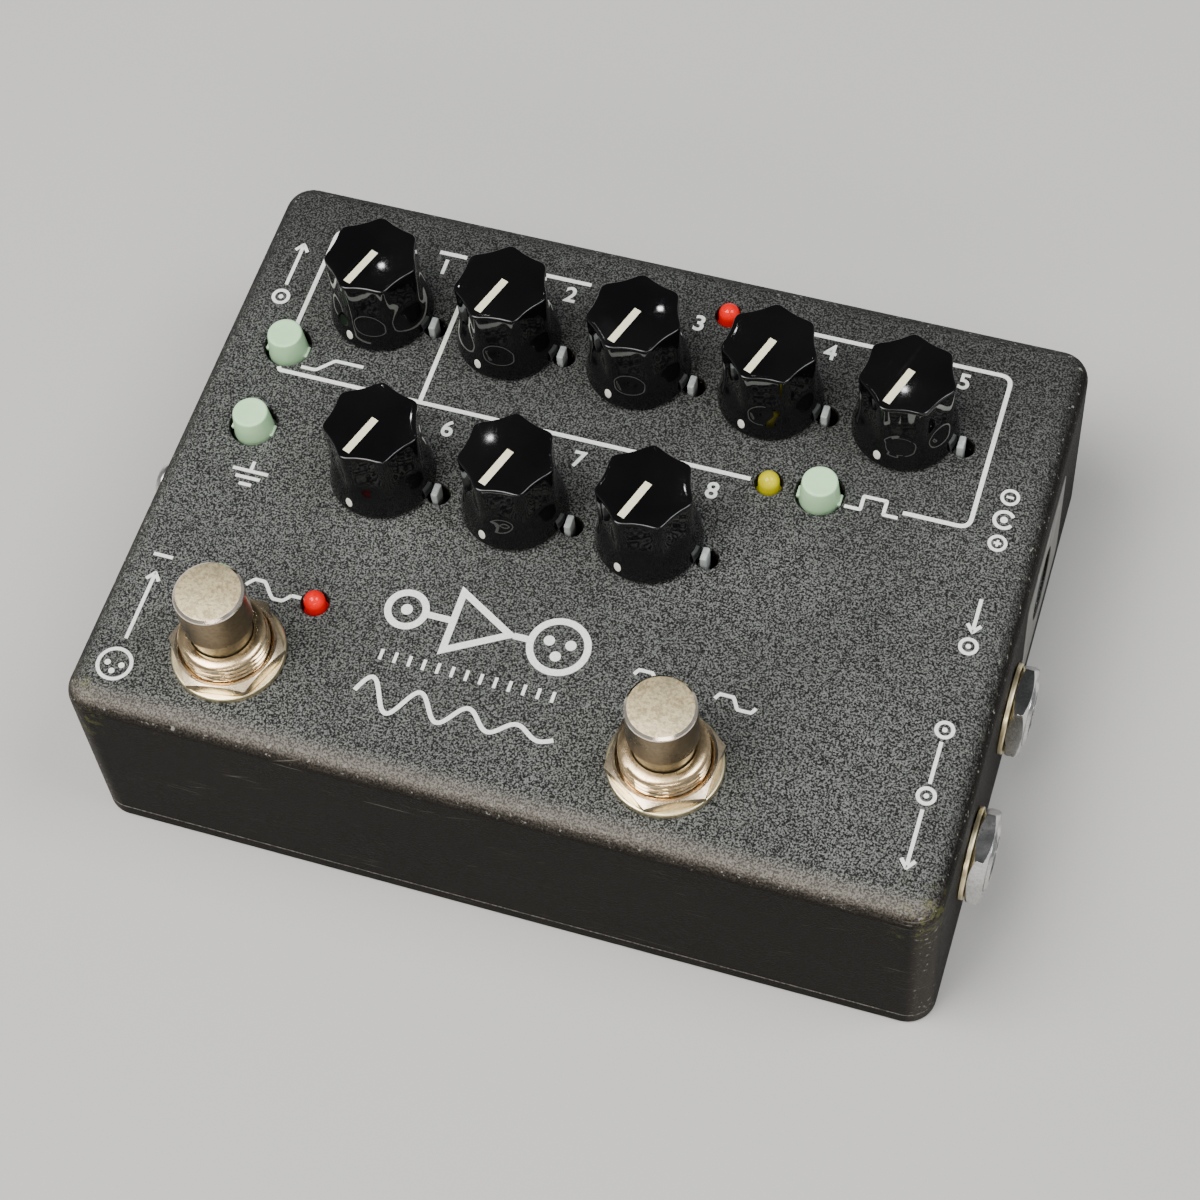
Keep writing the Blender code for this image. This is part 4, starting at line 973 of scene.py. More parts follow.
# %% Threads and nuts
def threaded_sleeve(name, radius, bore, bottom, top, pitch, depth, lead_in, rim, sides=72):
    """A bored sleeve with a helical thread outside and a chamfer at its top."""
    per_pitch = 8
    rows = max(2, round((top - lead_in - bottom) / pitch * per_pitch))
    rings = [circle(bore, top - 0.05 * MM, sides), circle(bore + 0.05 * MM, top, sides), circle(rim, top, sides)]
    for row in range(rows + 1):
        height = top - lead_in - (top - lead_in - bottom) * row / rows
        fade = min(1.0, row / 2)
        ring = []
        for count in range(sides):
            turn = 2 * math.pi * count / sides
            phase = (height / pitch - count / sides) % 1.0
            groove = max(0.0, 1.0 - 1.5 * abs(2.0 * phase - 1.0))
            here = radius - depth * fade * groove - depth * (1.0 - fade) * 0.3
            ring.append((here * math.cos(turn), here * math.sin(turn), height))
        rings.append(ring)
    rings += [circle(radius - depth, bottom, sides), circle(bore, bottom, sides)]
    return open_ends(skin(name, rings))


def open_ends(mesh):
    """Takes the two cap faces off a sleeve and joins its ends, which leaves the bore open."""

    def build(bm):
        bm.from_mesh(mesh)
        caps = sorted(bm.faces, key=lambda face: len(face.verts))[-2:]
        rims = [edge for cap in caps for edge in cap.edges]
        bmesh.ops.delete(bm, geom=caps, context="FACES_ONLY")
        bmesh.ops.bridge_loops(bm, edges=rims)

    return mesh_from(mesh.name, build)


def hex_nut(name, flats, bottom, top, hole, turn=0.0, sides=72):
    """A nut whose corners are turned down to a chamfer at both ends."""
    corner = flats / math.sqrt(3.0)
    crown = flats / 2 - 0.05 * MM
    drop = (corner - crown) * 0.55
    prism = mesh_from(
        name,
        lambda bm: bmesh.ops.create_cone(
            bm,
            cap_ends=True,
            segments=6,
            radius1=corner,
            radius2=corner,
            depth=top - bottom,
            matrix=Matrix.Translation((0, 0, (top + bottom) / 2)) @ Matrix.Rotation(turn, 4, "Z"),
        ),
    )
    upper = [(0.0, top), (crown, top), (corner, top - drop)]
    lower = [(corner, bottom + drop), (crown, bottom), (0.0, bottom)]
    barrel = turned("barrel", upper + lower, sides)
    lead = 0.35 * MM
    upper = [(0.0, top + MM), (hole + lead, top + MM), (hole + lead, top), (hole, top - lead)]
    bore = turned("bore", [*upper, (hole, bottom - MM), (0.0, bottom - MM)], sides)
    return smooth(carved(name, prism, ("INTERSECT", barrel), ("DIFFERENCE", bore)), 20.0)


def eased(obj, width, segments=2, angle=25.0):
    """Rounds a piece's hard edges a little, as plating does."""
    bevel = obj.modifiers.new("eased", "BEVEL")
    bevel.width = width
    bevel.segments = segments
    bevel.limit_method = "ANGLE"
    bevel.angle_limit = math.radians(angle)
    bevel.harden_normals = False
    return obj


def flat_washer(name, outer, inner, bottom, top, edge, sides=72):
    """A stamped washer, rounded over on its upper outer edge."""
    profile = rounded([(inner, bottom), (inner, top), (outer, top), (outer, bottom)], edge, 4)
    rings = [circle(point[0], point[1], sides) for point in profile]
    return smooth(open_ends(skin(name, rings)), 35.0)


# %% [markdown]
# ## Foot switches
# Each is a latching switch held by a nut and a washer on a coarse bushing. Its cap is a fat button on a thinner
# stem, with a turned chamfer that stays bright while the flat top is scuffed matt; the chamfer's pale colour is
# partly a painted highlight. The cap's side is painted dark, a painted reflection, and the stem under it and the
# deep faces of the thread are painted dark as painted shade.

# %% Foot switch pieces
FOOT_RIM_TOP = 6.0 * MM
FOOT_BORE = 4.25 * MM
FOOT_CAP = 4.7 * MM
FOOT_STEM = 4.1 * MM
FOOT_CAP_TOP = 16.0 * MM
FOOT_CAP_LOW = 9.0 * MM
FOOT_BODY = 16.0 * MM
FOOT_BODY_TOP = -2.5 * MM
FOOT_BODY_LOW = -17.5 * MM
FOOT_WASHER = (7.75 * MM, 6.25 * MM, 0.12 * MM, 0.95 * MM, 0.3 * MM)  # outer, inner, bottom, top, edge
FOOT_NUT = (13.8 * MM, 1.0 * MM, 3.0 * MM, 6.1 * MM)  # flats, bottom, top, hole
FOOT_NUT_TURNS = {"left": math.radians(-21.6), "right": math.radians(-3.0)}


def foot_bushing_mesh():
    pitch, depth, lead_in, rim = 0.95 * MM, 0.6 * MM, 0.3 * MM, 5.3 * MM
    sleeve = threaded_sleeve(
        "bushing", FOOT_THREAD, FOOT_BORE, -2.6 * MM, FOOT_RIM_TOP, pitch, depth, lead_in, rim
    )
    half = FOOT_BODY / 2
    body = block("body", (-half, -half, FOOT_BODY_LOW), (half, half, FOOT_BODY_TOP), 0.5 * MM)
    lug_low = FOOT_BODY_LOW - 3.2 * MM
    rows = (-4.8 * MM, 0.0, 4.8 * MM)
    lugs = [
        block("lug", (x - 1.1 * MM, y - 0.4 * MM, lug_low), (x + 1.1 * MM, y + 0.4 * MM, FOOT_BODY_LOW))
        for x in rows
        for y in rows
    ]
    return smooth(merged("foot_bushing", sleeve, body, *lugs), 40.0)


def bushing_finish(polygon):
    """1 for the faces deep in the thread, painted dark as painted shade, and 0 for the rest."""
    spot = polygon.center
    radius = math.hypot(spot.x, spot.y)
    in_thread = -2.5 * MM < spot.z < FOOT_RIM_TOP - 0.6 * MM
    return int(in_thread and FOOT_BORE + 0.5 * MM < radius < FOOT_THREAD - 0.2 * MM)


def cap_finish(polygon):
    """The flat top is worn matt (0), the chamfer bright (1), its pale colour partly a painted highlight, the side
    painted dark as a painted reflection (2) and the stem painted dark as the shade under the cap (3).
    """
    spot = polygon.center
    if polygon.normal.z > 0.9 and spot.z > FOOT_CAP_TOP - 0.1 * MM:
        return 0
    if spot.z > FOOT_CAP_TOP - 0.5 * MM:
        return 1
    on_cap = spot.z > FOOT_CAP_LOW - 0.1 * MM and math.hypot(spot.x, spot.y) > FOOT_STEM
    return 2 if on_cap else 3


def foot_cap_mesh():
    """The cap's flat top, its bright chamfer and its side, down to the stem below."""
    profile = [
        (0.0, FOOT_CAP_TOP),
        (FOOT_CAP - 0.55 * MM, FOOT_CAP_TOP),
        (FOOT_CAP - 0.42 * MM, FOOT_CAP_TOP - 0.03 * MM),
        (FOOT_CAP - 0.08 * MM, FOOT_CAP_TOP - 0.34 * MM),
        (FOOT_CAP, FOOT_CAP_TOP - 0.52 * MM),
        (FOOT_CAP, FOOT_CAP_LOW + 0.25 * MM),
        (FOOT_CAP - 0.25 * MM, FOOT_CAP_LOW),
        (FOOT_STEM, FOOT_CAP_LOW),
        (FOOT_STEM, -5.9 * MM),
        (0.0, -5.9 * MM),
    ]
    return smooth(turned("foot_cap", profile, 96), 18.0)


def face_by_face(name, mesh, place, choose, finishes, body, replaces):
    """A piece with several finishes. The chooser sees each face before the mesh is moved to its place."""
    chosen = [choose(polygon) for polygon in mesh.polygons]
    obj = piece(name, moved(mesh, place), finishes[0], body, replaces)
    for finish in finishes[1:]:
        obj.data.materials.append(finish)
    obj.data.polygons.foreach_set("material_index", chosen)


def make_foot_switches():
    for name in FOOT_NAMES:
        body = f"foot_plunger_{name}"
        place = Matrix.Translation(on_panel(body))
        face_by_face(
            f"foot_bushing_{name}",
            foot_bushing_mesh(),
            place,
            bushing_finish,
            (WARM_THREAD, STEM_PAINTED_SHADE),
            "housing",
            [f"foot_switch_{name}"],
        )
        washer = flat_washer("washer", *FOOT_WASHER)
        piece(f"foot_flat_washer_{name}", moved(washer, place), NICKEL, "housing", [f"foot_washer_{name}"])
        nut = hex_nut("nut", *FOOT_NUT, FOOT_NUT_TURNS[name])
        nut = piece(f"foot_hex_nut_{name}", moved(nut, place), NUT_NICKEL, "housing", [f"foot_nut_{name}"])
        eased(nut, 0.12 * MM)
        finishes = (WORN_NICKEL, BRIGHT_EDGE, NICKEL_SIDE_PAINTED_DARK, STEM_PAINTED_SHADE)
        face_by_face(f"foot_cap_{name}", foot_cap_mesh(), place, cap_finish, finishes, body, [body])


make_foot_switches()

# %% [markdown]
# ## Push buttons and lamps
# The buttons are small moulded caps in generous holes, each with two wings that keep it from turning. The lamps are
# three-millimetre lenses that stand a little out of theirs.


# %% Buttons
def button_mesh():
    dished_top = mm((0, 3.12), (1.5, 3.12), (2.05, 3.20), (2.30, 3.18), (2.44, 3.05), (2.52, 2.6))
    skirt_and_stem = mm((2.88, -1.2), (1.2, -1.2), (1.2, -6.6), (0, -6.6))
    cap = turned("cap", dished_top + skirt_and_stem, 64, 0.12 * MM)
    wings = [block("wing", *mm((side * 2.2, -0.9, -1.0), (side * 3.12, 0.9, -0.35)), 0.12 * MM) for side in (-1, 1)]
    return smooth(merged("button", cap, *wings), 38.0)


for name in BUTTON_NAMES:
    body = f"button_{name}"
    mesh = moved(button_mesh(), Matrix.Translation(on_panel(body)))
    piece(f"push_cap_{name}", mesh, MINT, body, [body])
print("buttons:", BUTTON_NAMES)


# %% Lamps
def lamp_mesh():
    radius, top, flange = 1.5 * MM, 2.0 * MM, -2.3 * MM
    steps = 10
    dome = []
    for step in range(steps + 1):
        turn = math.pi / 2 * step / steps
        dome.append((radius * math.sin(turn), top - radius * (1 - math.cos(turn))))
    rim = [(radius, flange), (1.9 * MM, flange), (1.9 * MM, flange - MM), (0.0, flange - MM)]
    lens = turned("lens", dome + rim, 48)
    leads = [
        block("lead", (x - 0.25 * MM, -0.25 * MM, -9.4 * MM), (x + 0.25 * MM, 0.25 * MM, flange - MM), 0.05 * MM)
        for x in (-0.95 * MM, 0.95 * MM)
    ]
    return smooth(merged("lamp", lens, *leads), 40.0)


for name in LAMP_NAMES:
    node = f"lamp_{name}"
    resin, slot = (YELLOW_RESIN, "yellow_lamp") if name == "yellow" else (RED_RESIN, "red_lamp")
    piece(f"lens_{name}", moved(lamp_mesh(), Matrix.Translation(on_panel(node))), resin, "housing", [node])
print("lamps:", LAMP_NAMES)


# %% [markdown]
# ## Potentiometers
# Only a locating tab shows beside each knob, bright in its dark hole, but the whole part is made: a can, a bushing,
# a thin nut and the tab, so that nothing is missing when a knob is pulled off.


# %% Potentiometers
def pot_mesh():
    can_top, can_low = -2.5 * MM, -9.5 * MM
    can = turned("can", [(0.0, can_top), (8.2 * MM, can_top), (8.2 * MM, can_low), (0.0, can_low)], 64, 0.5 * MM)
    pitch, depth, lead_in, rim = 0.75 * MM, 0.14 * MM, 0.4 * MM, 3.3 * MM
    bushing = threaded_sleeve(
        "bushing", BUSHING, 3.15 * MM, can_top, 5.0 * MM, pitch, depth, lead_in, rim, 48
    )
    nut = hex_nut("nut", 10.0 * MM, 0.15 * MM, 2.15 * MM, BUSHING, sides=48)
    return smooth(merged("potentiometer", can, bushing, nut), 35.0)


def tab_mesh():
    """The locating tab, a strip bent up from the can, its end rounded over by the punch."""
    half_x_tab, half_y_tab = 0.48 * MM, 1.05 * MM
    low = (TAB_PLACE.x - half_x_tab, TAB_PLACE.y - half_y_tab, -3.4 * MM)
    high = (TAB_PLACE.x + half_x_tab, TAB_PLACE.y + half_y_tab, 1.3 * MM)
    return smooth(block("tab", low, high, 0.22 * MM, 4), 50.0)


pot, tab = pot_mesh(), tab_mesh()
for name, spot in KNOB_SPOTS.items():
    place = Matrix.Translation(spot)
    piece(f"potentiometer_{name}", moved(pot.copy(), place), POT_METAL, "housing", [f"pot_{name}"])
    piece(f"locating_tab_{name}", moved(tab.copy(), place), TAB_ZINC, "housing")
print("potentiometers:", len(KNOB_SPOTS))


# %% [markdown]
# ## Sockets in the side walls
# Two jacks stand out of the right wall and one out of the left, each a bored and threaded sleeve with a washer and
# a bright nut. The balanced socket is a dark cup with three pins. The power socket sits just inside its hole.


# %% Jacks
JACK_BORE = 3.25 * MM
JACK_BORE_END = -22.4 * MM
JACK_PROUD = 3.5 * MM
JACK_WASHER = (6.4 * MM, 4.95 * MM, 0.12 * MM, 0.75 * MM, 0.2 * MM)  # outer, inner, bottom, top, edge
JACK_NUT = (12.1 * MM, 0.85 * MM, 3.05 * MM, 4.8 * MM)  # flats, bottom, top, hole
JACK_NUT_TURN = math.radians(3.0)


def from_wall(node, side):
    """The matrix that points a piece's own +Z out of a side wall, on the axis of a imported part."""
    spot = middle(node)
    return out_of_wall(side, spot.y, spot.z, half_x(spot.z))


def plug_drill(radius, end, sides=48):
    return turned("drill", [(0.0, 0.0), (radius, 0.0), (radius, end), (0.0, end)], sides)


def jack_mesh():
    pitch, depth, lead_in, rim = 0.9 * MM, 0.28 * MM, 0.4 * MM, 4.2 * MM
    sleeve = threaded_sleeve(
        "sleeve", JACK_THREAD, JACK_BORE, -2.9 * MM, JACK_PROUD, pitch, depth, lead_in, rim
    )
    body = block("body", *mm((-6.0, -6.3, -25.8), (6.0, 6.3, -2.8)), 0.6 * MM)
    body = carved("jack_body", body, ("DIFFERENCE", plug_drill(JACK_BORE, JACK_BORE_END)))
    return smooth(merged("jack", sleeve, body), 40.0)


for name, side in JACK_SIDES.items():
    place = from_wall(f"jack_{name}", side)
    piece(f"jack_socket_{name}", moved(jack_mesh(), place), CHROME, "housing", [f"jack_{name}"])
    piece(f"jack_washer_{name}", moved(flat_washer("washer", *JACK_WASHER), place), NICKEL, "housing")
    nut = moved(hex_nut("nut", *JACK_NUT, JACK_NUT_TURN), place)
    nut = piece(f"jack_hex_nut_{name}", nut, CHROME, "housing", [f"jack_nut_{name}"])
    eased(nut, 0.12 * MM)
print("jacks:", list(JACK_SIDES))


# %% Balanced socket
def xlr_meshes():
    cup = mm((8, -14), (8, 0.1), (8.4, 0.5), (9.3, 0.5), (9.7, 0.1), (9.7, -11.5), (8.8, -11.5), (8.8, -18))
    outline = mm((0, -18)) + cup[::-1] + mm((0, -14))
    profile = [tuple(point) for point in rounded(outline, 0.15 * MM, 3)]
    shell = turned("cup", profile, 96)
    flange = block("flange", *mm((-12.5, -11.0, -4.8), (12.5, 11.0, -2.8)), 0.4 * MM)
    flange = carved("flange", flange, ("DIFFERENCE", plug_drill(9.0 * MM, -8.0 * MM, 64)))
    key = block("key", *mm((-8.4, -0.9, -12.0), (-7.2, 0.9, -0.4)), 0.2 * MM)
    pin_circle = 4.6 * MM
    pin_profile = mm((0, -5), (0.7, -5), (1.2, -6), (1.2, -14.2), (0, -14.2))
    pins = []
    for turn in (0.0, math.pi / 2, math.pi):
        spot = Matrix.Translation((pin_circle * math.cos(turn), pin_circle * math.sin(turn), 0.0))
        pins.append(moved(turned("pin", pin_profile, 32, 0.3 * MM), spot))
    return smooth(merged("balanced_socket", shell, flange, key), 35.0), smooth(merged("pins", *pins), 40.0)


def with_cross(blank, arm, half, low, high):
    """A screw blank with a cross sunk in its head between two heights."""
    slots = [block("slot", (-x, -y, low), (x, y, high)) for x, y in ((arm, half), (half, arm))]
    return smooth(carved("screw", blank, *[("DIFFERENCE", slot) for slot in slots]), 35.0)


def pan_head_screw(head, rise, shank, length):
    """A pan-head screw with a cross cut in it, seated at height 0."""
    dome = [(0.0, rise), (head * 0.55, rise * 0.96), (head * 0.86, rise * 0.7), (head, rise * 0.3)]
    profile = [*dome, (head, 0.0), (shank, 0.0), (shank, -length), (0.0, -length)]
    blank = turned("screw", profile, 48, 0.1 * MM)
    return with_cross(blank, head * 0.58, 0.42 * MM, rise - 0.9 * MM, rise + MM)


xlr_place = from_wall("xlr_socket", -1)
socket, pins = xlr_meshes()
piece("balanced_socket", moved(socket, xlr_place), BLACK_PLASTIC, "housing", ["xlr_socket"])
piece("balanced_pins", moved(pins, xlr_place), GOLD_PIN, "housing")
for count in (1, 2):
    place = from_wall(f"xlr_screw_{count}", -1) @ Matrix.Translation((0, 0, 0.1 * MM))
    screw = moved(pan_head_screw(2.7 * MM, 1.7 * MM, 1.3 * MM, 6.0 * MM), place)
    piece(f"socket_screw_{count}", screw, CHROME, "housing", [f"xlr_screw_{count}"])
print("balanced socket at", [round(v / MM, 1) for v in middle("xlr_socket")])


# %% Base screws
SCREW_END = 11.7 * MM
for count, spot in enumerate(SCREW_SPOTS, 1):
    shaft = [(0.0, SCREW_END), (SCREW_SHANK, SCREW_END), (SCREW_SHANK, SCREW_CONE)]
    head = [(SCREW_HEAD, SCREW_SUNK + 0.15 * MM), (SCREW_HEAD, SCREW_SUNK), (0.0, SCREW_SUNK)]
    blank = turned("screw", shaft + head, 48, 0.05 * MM)
    screw = with_cross(blank, SCREW_HEAD * 0.6, 0.45 * MM, -MM, 0.9 * MM)
    moved(screw, Matrix.Translation((spot.x, spot.y, 0.0)))
    piece(f"plate_screw_{count}", screw, ZINC_SCREW, "housing", [f"base_screw_{count}"])
print("plate screws:", len(SCREW_SPOTS))


# %% Power socket
POWER_SPOT = middle("power_socket")
power_place = from_wall("power_socket", 1)
nose = mm((0, -14.8), (4.6, -3.2), (4.6, -0.3), (3.3, -0.3), (3.1, -0.5), (3.1, -9.8), (0, -9.8))
nose = turned("nose", [tuple(point) for point in rounded(nose, 0.1 * MM, 3)], 64)
body = block("body", *mm((-5.0, -4.8, -14.8), (5.0, 4.8, -2.8)), 0.4 * MM)
body = carved("body", body, ("DIFFERENCE", plug_drill(3.4 * MM, -10.0 * MM)))
mesh = moved(smooth(merged("power_inlet", nose, body), 35.0), power_place)
piece("power_inlet", mesh, BLACK_PLASTIC, "housing", ["power_socket"])
pin = turned("pin", mm((0, -1.3), (1, -1.3), (1, -9.9), (0, -9.9)), 32, 0.35 * MM)
piece("power_pin", moved(smooth(pin), power_place), CHROME, "housing")
print("power socket at", [round(v / MM, 1) for v in POWER_SPOT])

# %% [markdown]
# ## Inside the box
# The board, the switches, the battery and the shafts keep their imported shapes. They are out of sight unless someone
# opens the box, but each still gets a finish of its own.


# %% Finishes for the parts inside
BOARD_GREEN = make_moulded("board_green", (0.010, 0.075, 0.030), (0.020, 0.12, 0.055), 0.35, 1200.0)
BATTERY_SHELL = make_moulded("battery_shell", (0.030, 0.055, 0.11), (0.045, 0.080, 0.16), 0.35, 900.0)
INSIDE = {
    "main_board": BOARD_GREEN,
    "battery": BATTERY_SHELL,
    "battery_snap": BLACK_PLASTIC,
    **{f"push_switch_{name}": SWITCH_GREY for name in BUTTON_NAMES},
    **{f"shaft_{name}": SHAFT_METAL for name in KNOB_SPOTS},
}
for node, material in INSIDE.items():
    slots = frame["nodes"][node].material_slots
    if slots:
        slots[0].material = material
    else:
        frame["nodes"][node].data.materials.append(material)
print("inside:", sorted(INSIDE))

# %% [markdown]
# ## The print on the panel
# White lines frame the groups of controls, and short marks name them. Printed ink has a thickness that a finger can
# feel, so each mark is a thin ribbon of real geometry. The marks here are plain numbers and the general signs of
# audio gear: arrows, rings for sockets, waves and an earth sign. They name nobody.

# %% Printing tools
INK_LOW = PANEL_Z - 0.01 * MM
INK_TOP = PANEL_Z + 0.035 * MM
INK_STEP = 0.003 * MM
LINE = 0.62 * MM
THIN = 0.5 * MM
FINE = 0.45 * MM


def make_ink():
    finish = Finish("panel_ink", roughness=0.5)
    tree = finish.tree
    grain = finish.group(GRAIN, scale=2600.0, drift_scale=70.0)
    finish.colour(blend_colour(tree, grain["Fine"], (0.80, 0.85, 0.77), (0.93, 0.96, 0.90)))
    finish.roughness(between(tree, grain["Fine"], 0.0, 1.0, 0.42, 0.6))
    finish.bump(grain["Height"], 0.05 * MM, 0.6)
    return finish.material


INK = make_ink()


def ribbon(points, width, closed=False):
    """A flat ribbon of ink along points on the panel."""
    points = [Vector(point[:2]) for point in points]
    total = len(points)

    def build(bm):
        sides = []
        for i, point in enumerate(points):
            before = points[i - 1] if i or closed else point
            after = points[(i + 1) % total] if i < total - 1 or closed else point
            arrive, leave = point - before, after - point
            arrive = arrive.normalized() if arrive.length else leave.normalized()
            leave = leave.normalized() if leave.length else arrive
            across = arrive + leave
            across = Vector((-across.y, across.x)).normalized()
            lean = max(0.35, abs(across.dot(Vector((-arrive.y, arrive.x)))))
            reach = across * (width / 2 / lean)
            sides.append((point + reach, point - reach))
        corners = []
        for left, right in sides:
            section = ((left, INK_TOP), (right, INK_TOP), (right, INK_LOW), (left, INK_LOW))
            corners.append([bm.verts.new((spot.x, spot.y, z)) for spot, z in section])
        for i in range(total if closed else total - 1):
            here, there = corners[i], corners[(i + 1) % total]
            for a in range(4):
                b = (a + 1) % 4
                bm.faces.new((here[a], here[b], there[b], there[a]))
        if not closed:
            bm.faces.new(corners[0])
            bm.faces.new(corners[-1])

    return mesh_from("ribbon", build)


def line(*points, width=LINE, corner=1.6 * MM):
    """A printed line through points given in millimetres, with round corners."""
    scaled = [Vector((x * MM, y * MM)) for x, y in points]
    return ribbon(rounded(scaled, corner, 6) if len(scaled) > 2 else scaled, width)


def thin(*points, corner=1.6 * MM):
    return line(*points, width=THIN, corner=corner)


def arc(centre, radius, start, end, width=LINE, steps=28):
    """A printed arc between two angles in degrees. A whole turn closes on itself."""
    whole = abs(end - start) >= 360.0
    count = steps if whole else steps + 1
    turns = [math.radians(start + (end - start) * i / steps) for i in range(count)]
    points = [((centre[0] + radius * math.cos(t)) * MM, (centre[1] + radius * math.sin(t)) * MM) for t in turns]
    return ribbon(points, width, closed=whole)


def solid_spot(centre, radius, sides=24):
    spot = turned("spot", [(0.0, INK_TOP), (radius * MM, INK_TOP), (radius * MM, INK_LOW), (0.0, INK_LOW)], sides)
    return moved(spot, Matrix.Translation((centre[0] * MM, centre[1] * MM, 0.0)))


def number(text, centre, size):
    """A plain number in Blender's own face, made a little bolder."""
    curve = bpy.data.curves.new("number", "FONT")
    curve.body = text
    curve.size = size * MM
    curve.align_x = "CENTER"
    curve.align_y = "CENTER"
    curve.offset = size * 0.022 * MM
    curve.extrude = (INK_TOP - INK_LOW) / 2
    obj = bpy.data.objects.new("number", curve)
    obj.location = (centre[0] * MM, centre[1] * MM, (INK_TOP + INK_LOW) / 2)
    scene.collection.objects.link(obj)
    bpy.context.view_layer.update()
    graph = bpy.context.evaluated_depsgraph_get()
    mesh = bpy.data.meshes.new_from_object(obj.evaluated_get(graph))
    mesh.transform(obj.matrix_world)
    bpy.data.objects.remove(obj)
    return mesh


def printed(name, *marks):
    """Marks as one piece. Each lies a hair above the last, so that two which cross share no face."""
    lifted = [moved(mark, Matrix.Translation((0, 0, count * INK_STEP))) for count, mark in enumerate(marks)]
    return piece(name, merged(name, *lifted), INK, "housing")


# %% Frame lines
printed(
    "print_frame_left",
    line((-43.8, 37.5), (-50.0, 37.5), (-50.0, 19.8)),
    line((-49.9, 12.4), (-49.6, 11.9), (-39.0, 11.9), (19.6, 11.9), corner=1.2 * MM),
    line((-28.5, 11.9), (-28.5, 30.0)),
)
printed(
    "print_frame_top",
    line((-34.3, 37.5), (-30.2, 37.5)),
    line((-28.5, 30.0), (-28.5, 36.4), (-26.8, 37.5), (-11.3, 37.5)),
    line((19.4, 37.5), (32.0, 37.5)),
)
printed(
    "print_frame_right",
    line((42.0, 37.5), (50.0, 37.5), (50.0, 12.1), (40.9, 12.1)),
    line((32.0, 37.5), (42.0, 37.5)),
)
print("frame lines printed")


# %% General signs
def ring(x, y, radius=1.1, width=THIN):
    return arc((x, y), radius, 0, 360, width)


def arrow(start, end, head=1.15):
    """A straight arrow between two points, in millimetres."""
    along = (Vector(end) - Vector(start)).normalized()
    aside = Vector((-along.y, along.x))
    tip = Vector(end)
    wings = [tip - along * head + aside * head * 0.8, tip - along * head - aside * head * 0.8]
    shaft = thin(start, tuple(tip))
    return [shaft, thin(tuple(wings[0]), tuple(tip), tuple(wings[1]), corner=0.05 * MM)]


def wave(x, y, length, height, clip=1.0, width=THIN, steps=32):
    """One turn of a sine wave, flattened where it passes the clip."""
    points = []
    for i in range(steps + 1):
        share = i / steps
        lift = max(-clip, min(clip, 1.25 * math.sin(2 * math.pi * share)))
        points.append(((x + length * share) * MM, (y + height / 2 * lift) * MM))
    return ribbon(points, width)


# The output jack and the balanced output, up the left edge
printed("print_output", ring(-54.0, 24.0), *arrow((-54.0, 26.2), (-54.0, 33.6)), solid_spot((-54.0, 24.0), 0.35))
printed(
    "print_balanced_output",
    ring(-54.0, -38.6, 2.3),
    solid_spot((-55.0, -38.6), 0.42),
    solid_spot((-53.0, -38.6), 0.42),
    solid_spot((-54.0, -39.7), 0.42),
    *arrow((-54.0, -34.6), (-54.0, -24.0)),
    thin((-55.4, -21.2), (-52.6, -21.2)),
)
# Beside the three buttons: a tone curve, an earth sign and a gate's step
printed("print_tone", thin((-46.8, 13.2), (-44.6, 13.2), (-42.4, 15.4), (-38.2, 15.4), corner=0.9 * MM))
printed(
    "print_earth",
    thin((-47.4, -3.6), (-47.4, -5.2)),
    thin((-50.0, -5.2), (-44.8, -5.2)),
    thin((-49.2, -6.3), (-45.6, -6.3)),
    thin((-48.3, -7.4), (-46.5, -7.4)),
)
printed(
    "print_gate",
    thin((33.0, 11.1), (35.2, 11.1), (35.2, 13.3), (38.4, 13.3), (38.4, 11.1), (40.4, 11.1), corner=0.15 * MM),
)
# Beside the foot switches: a clean wave and a clipped one
printed("print_clean_wave", wave(-41.4, -22.4, 6.6, 2.2), wave(-34.8, -22.4, 1.4, 0.0))
printed("print_clipped_wave", wave(13.2, -21.4, 5.6, 2.6, 0.62), wave(24.4, -22.0, 5.6, 2.6, 0.62))
# Up the right edge: the power socket's polarity, an arrow in, and two rings for the parallel output
printed(
    "print_power",
    ring(54.2, 18.3, width=FINE),
    line((53.7, 18.3), (54.7, 18.3), width=0.35 * MM),
    arc((54.2, 14.6), 1.3, 30, 330, THIN),
    solid_spot((54.2, 14.6), 0.5),
    ring(54.2, 10.8, width=FINE),
    line((53.7, 10.8), (54.7, 10.8), width=0.35 * MM),
    line((54.2, 10.3), (54.2, 11.3), width=0.35 * MM),
)
printed("print_input", ring(54.2, -5.6), solid_spot((54.2, -5.6), 0.35), *arrow((54.2, 1.8), (54.2, -3.4)))
printed(
    "print_parallel_output",
    ring(54.2, -18.4),
    solid_spot((54.2, -18.4), 0.35),
    thin((54.2, -20.2), (54.2, -26.4)),
    ring(54.2, -28.2),
    solid_spot((54.2, -28.2), 0.35),
    *arrow((54.2, -30.2), (54.2, -38.6)),
)
print("signs printed")

# %% Numbers and the signal path
NUMBER_SIZE = 3.6
for count, (name, spot) in enumerate(KNOB_SPOTS.items(), 1):
    beside = (spot.x / MM + 6.0, spot.y / MM + 9.5)
    printed(f"print_number_{name}", number(str(count), beside, NUMBER_SIZE))

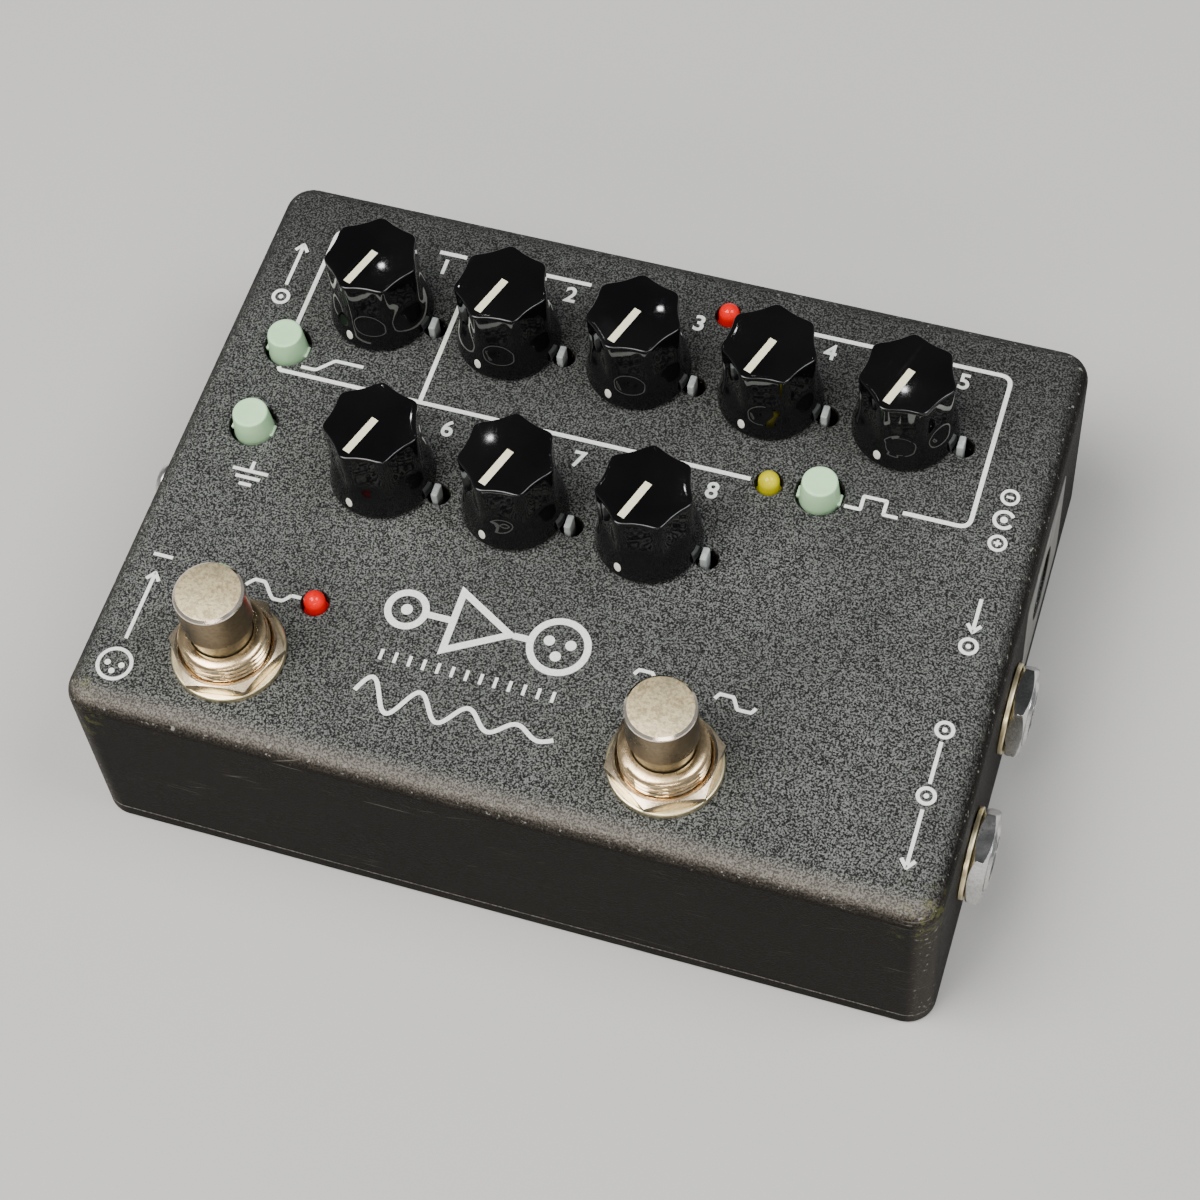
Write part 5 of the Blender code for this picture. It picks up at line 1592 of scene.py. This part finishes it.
# A socket ring, an amplifier's triangle and a balanced ring, joined by a line
PATH_Y = -20.2
BOLD = 0.95 * MM
TRIANGLE = mm((-12.4, PATH_Y - 4.6), (-12.4, PATH_Y + 4.6), (-4.4, PATH_Y))
printed(
    "print_signal_path",
    ring(-19.0, PATH_Y, 2.6, BOLD),
    solid_spot((-19.0, PATH_Y), 0.8),
    line((-16.4, PATH_Y), (-12.6, PATH_Y), width=BOLD),
    ribbon(TRIANGLE, BOLD, closed=True),
    line((-3.9, PATH_Y), (-1.4, PATH_Y), width=BOLD),
    ring(2.4, PATH_Y, 3.9, BOLD),
    solid_spot((0.9, PATH_Y + 0.6), 0.75),
    solid_spot((3.9, PATH_Y + 0.6), 0.75),
    solid_spot((2.4, PATH_Y - 1.5), 0.75),
)
# A scale of ticks, and a low string's wave that dies away
printed("print_scale", *[line((x, -28.4), (x, -26.8), width=FINE) for x in range(-20, 6, 2)])
STRING_Y = -33.6
STRING_STEPS = 120
fading = []
for step in range(STRING_STEPS + 1):
    share = step / STRING_STEPS
    swing = 2.6 * (1 - 0.8 * share) * math.sin(8 * math.pi * share)
    fading.append((-21.6 + 27.6 * share, STRING_Y + swing))
printed("print_string_wave", ribbon(mm(*fading), LINE))


# %% [markdown]
# ## The worn patch on the right wall
# A blank label round the power socket has gone hazy with handling. It could be paint on the wall, but a thin sheet
# with a hole for the socket gives it a real edge. It is grey and cloudy, with small pale blots.

# %% Side label
def make_haze():
    finish = Finish("hazy_label", roughness=0.45)
    tree = finish.tree
    grain = finish.group(GRAIN, scale=1400.0, drift_scale=130.0)
    blots = between(tree, noise(tree, finish.place, 260.0, 3.0, 0.5), 0.60, 0.66)
    base = blend_colour(tree, grain["Drift"], (0.10, 0.098, 0.09), (0.20, 0.195, 0.18))
    finish.colour(blend_colour(tree, blots, base, (0.30, 0.30, 0.28)))
    finish.roughness(between(tree, grain["Drift"], 0.0, 1.0, 0.35, 0.6))
    finish.bump(grain["Height"], 0.02 * MM, 0.5)
    return finish.material


def make_side_label():
    low, high = Vector((-10.0, -11.0)) * MM, Vector((10.0, 12.5)) * MM
    corner = 1.5 * MM

    def build(bm):
        size = Matrix.Diagonal((high.x - low.x, high.y - low.y, 0.09 * MM, 1.0))
        centre = (low + high) / 2
        bmesh.ops.create_cube(bm, size=1.0, matrix=Matrix.Translation((centre.x, centre.y, 0.04 * MM)) @ size)
        upright = [e for e in bm.edges if abs(e.verts[0].co.z - e.verts[1].co.z) > 0.05 * MM]
        bmesh.ops.bevel(bm, geom=upright, offset=corner, segments=6, affect="EDGES", profile=0.5)

    hole = turned("hole", mm((0, 1), (5.4, 1), (5.4, -1), (0, -1)), 64)
    sheet = carved("side_label", mesh_from("sheet", build), ("DIFFERENCE", hole))
    lean = Matrix.Rotation(-math.atan(DRAFT), 4, "Y")
    spot = Vector((half_x(POWER_SPOT.z), POWER_SPOT.y, POWER_SPOT.z))
    place = Matrix.Translation(spot) @ lean @ Matrix.Rotation(math.pi / 2, 4, "Y")
    return piece("side_label", moved(sheet, place), make_haze(), "housing")


make_side_label()
print("side label placed")

# %% Sizes and finish
SHOWN_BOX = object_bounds()
for label, (low, high) in (("packed", CAD_BOX), ("shown", SHOWN_BOX)):
    print(label, [round(v / MM, 2) for v in high - low], "mm")
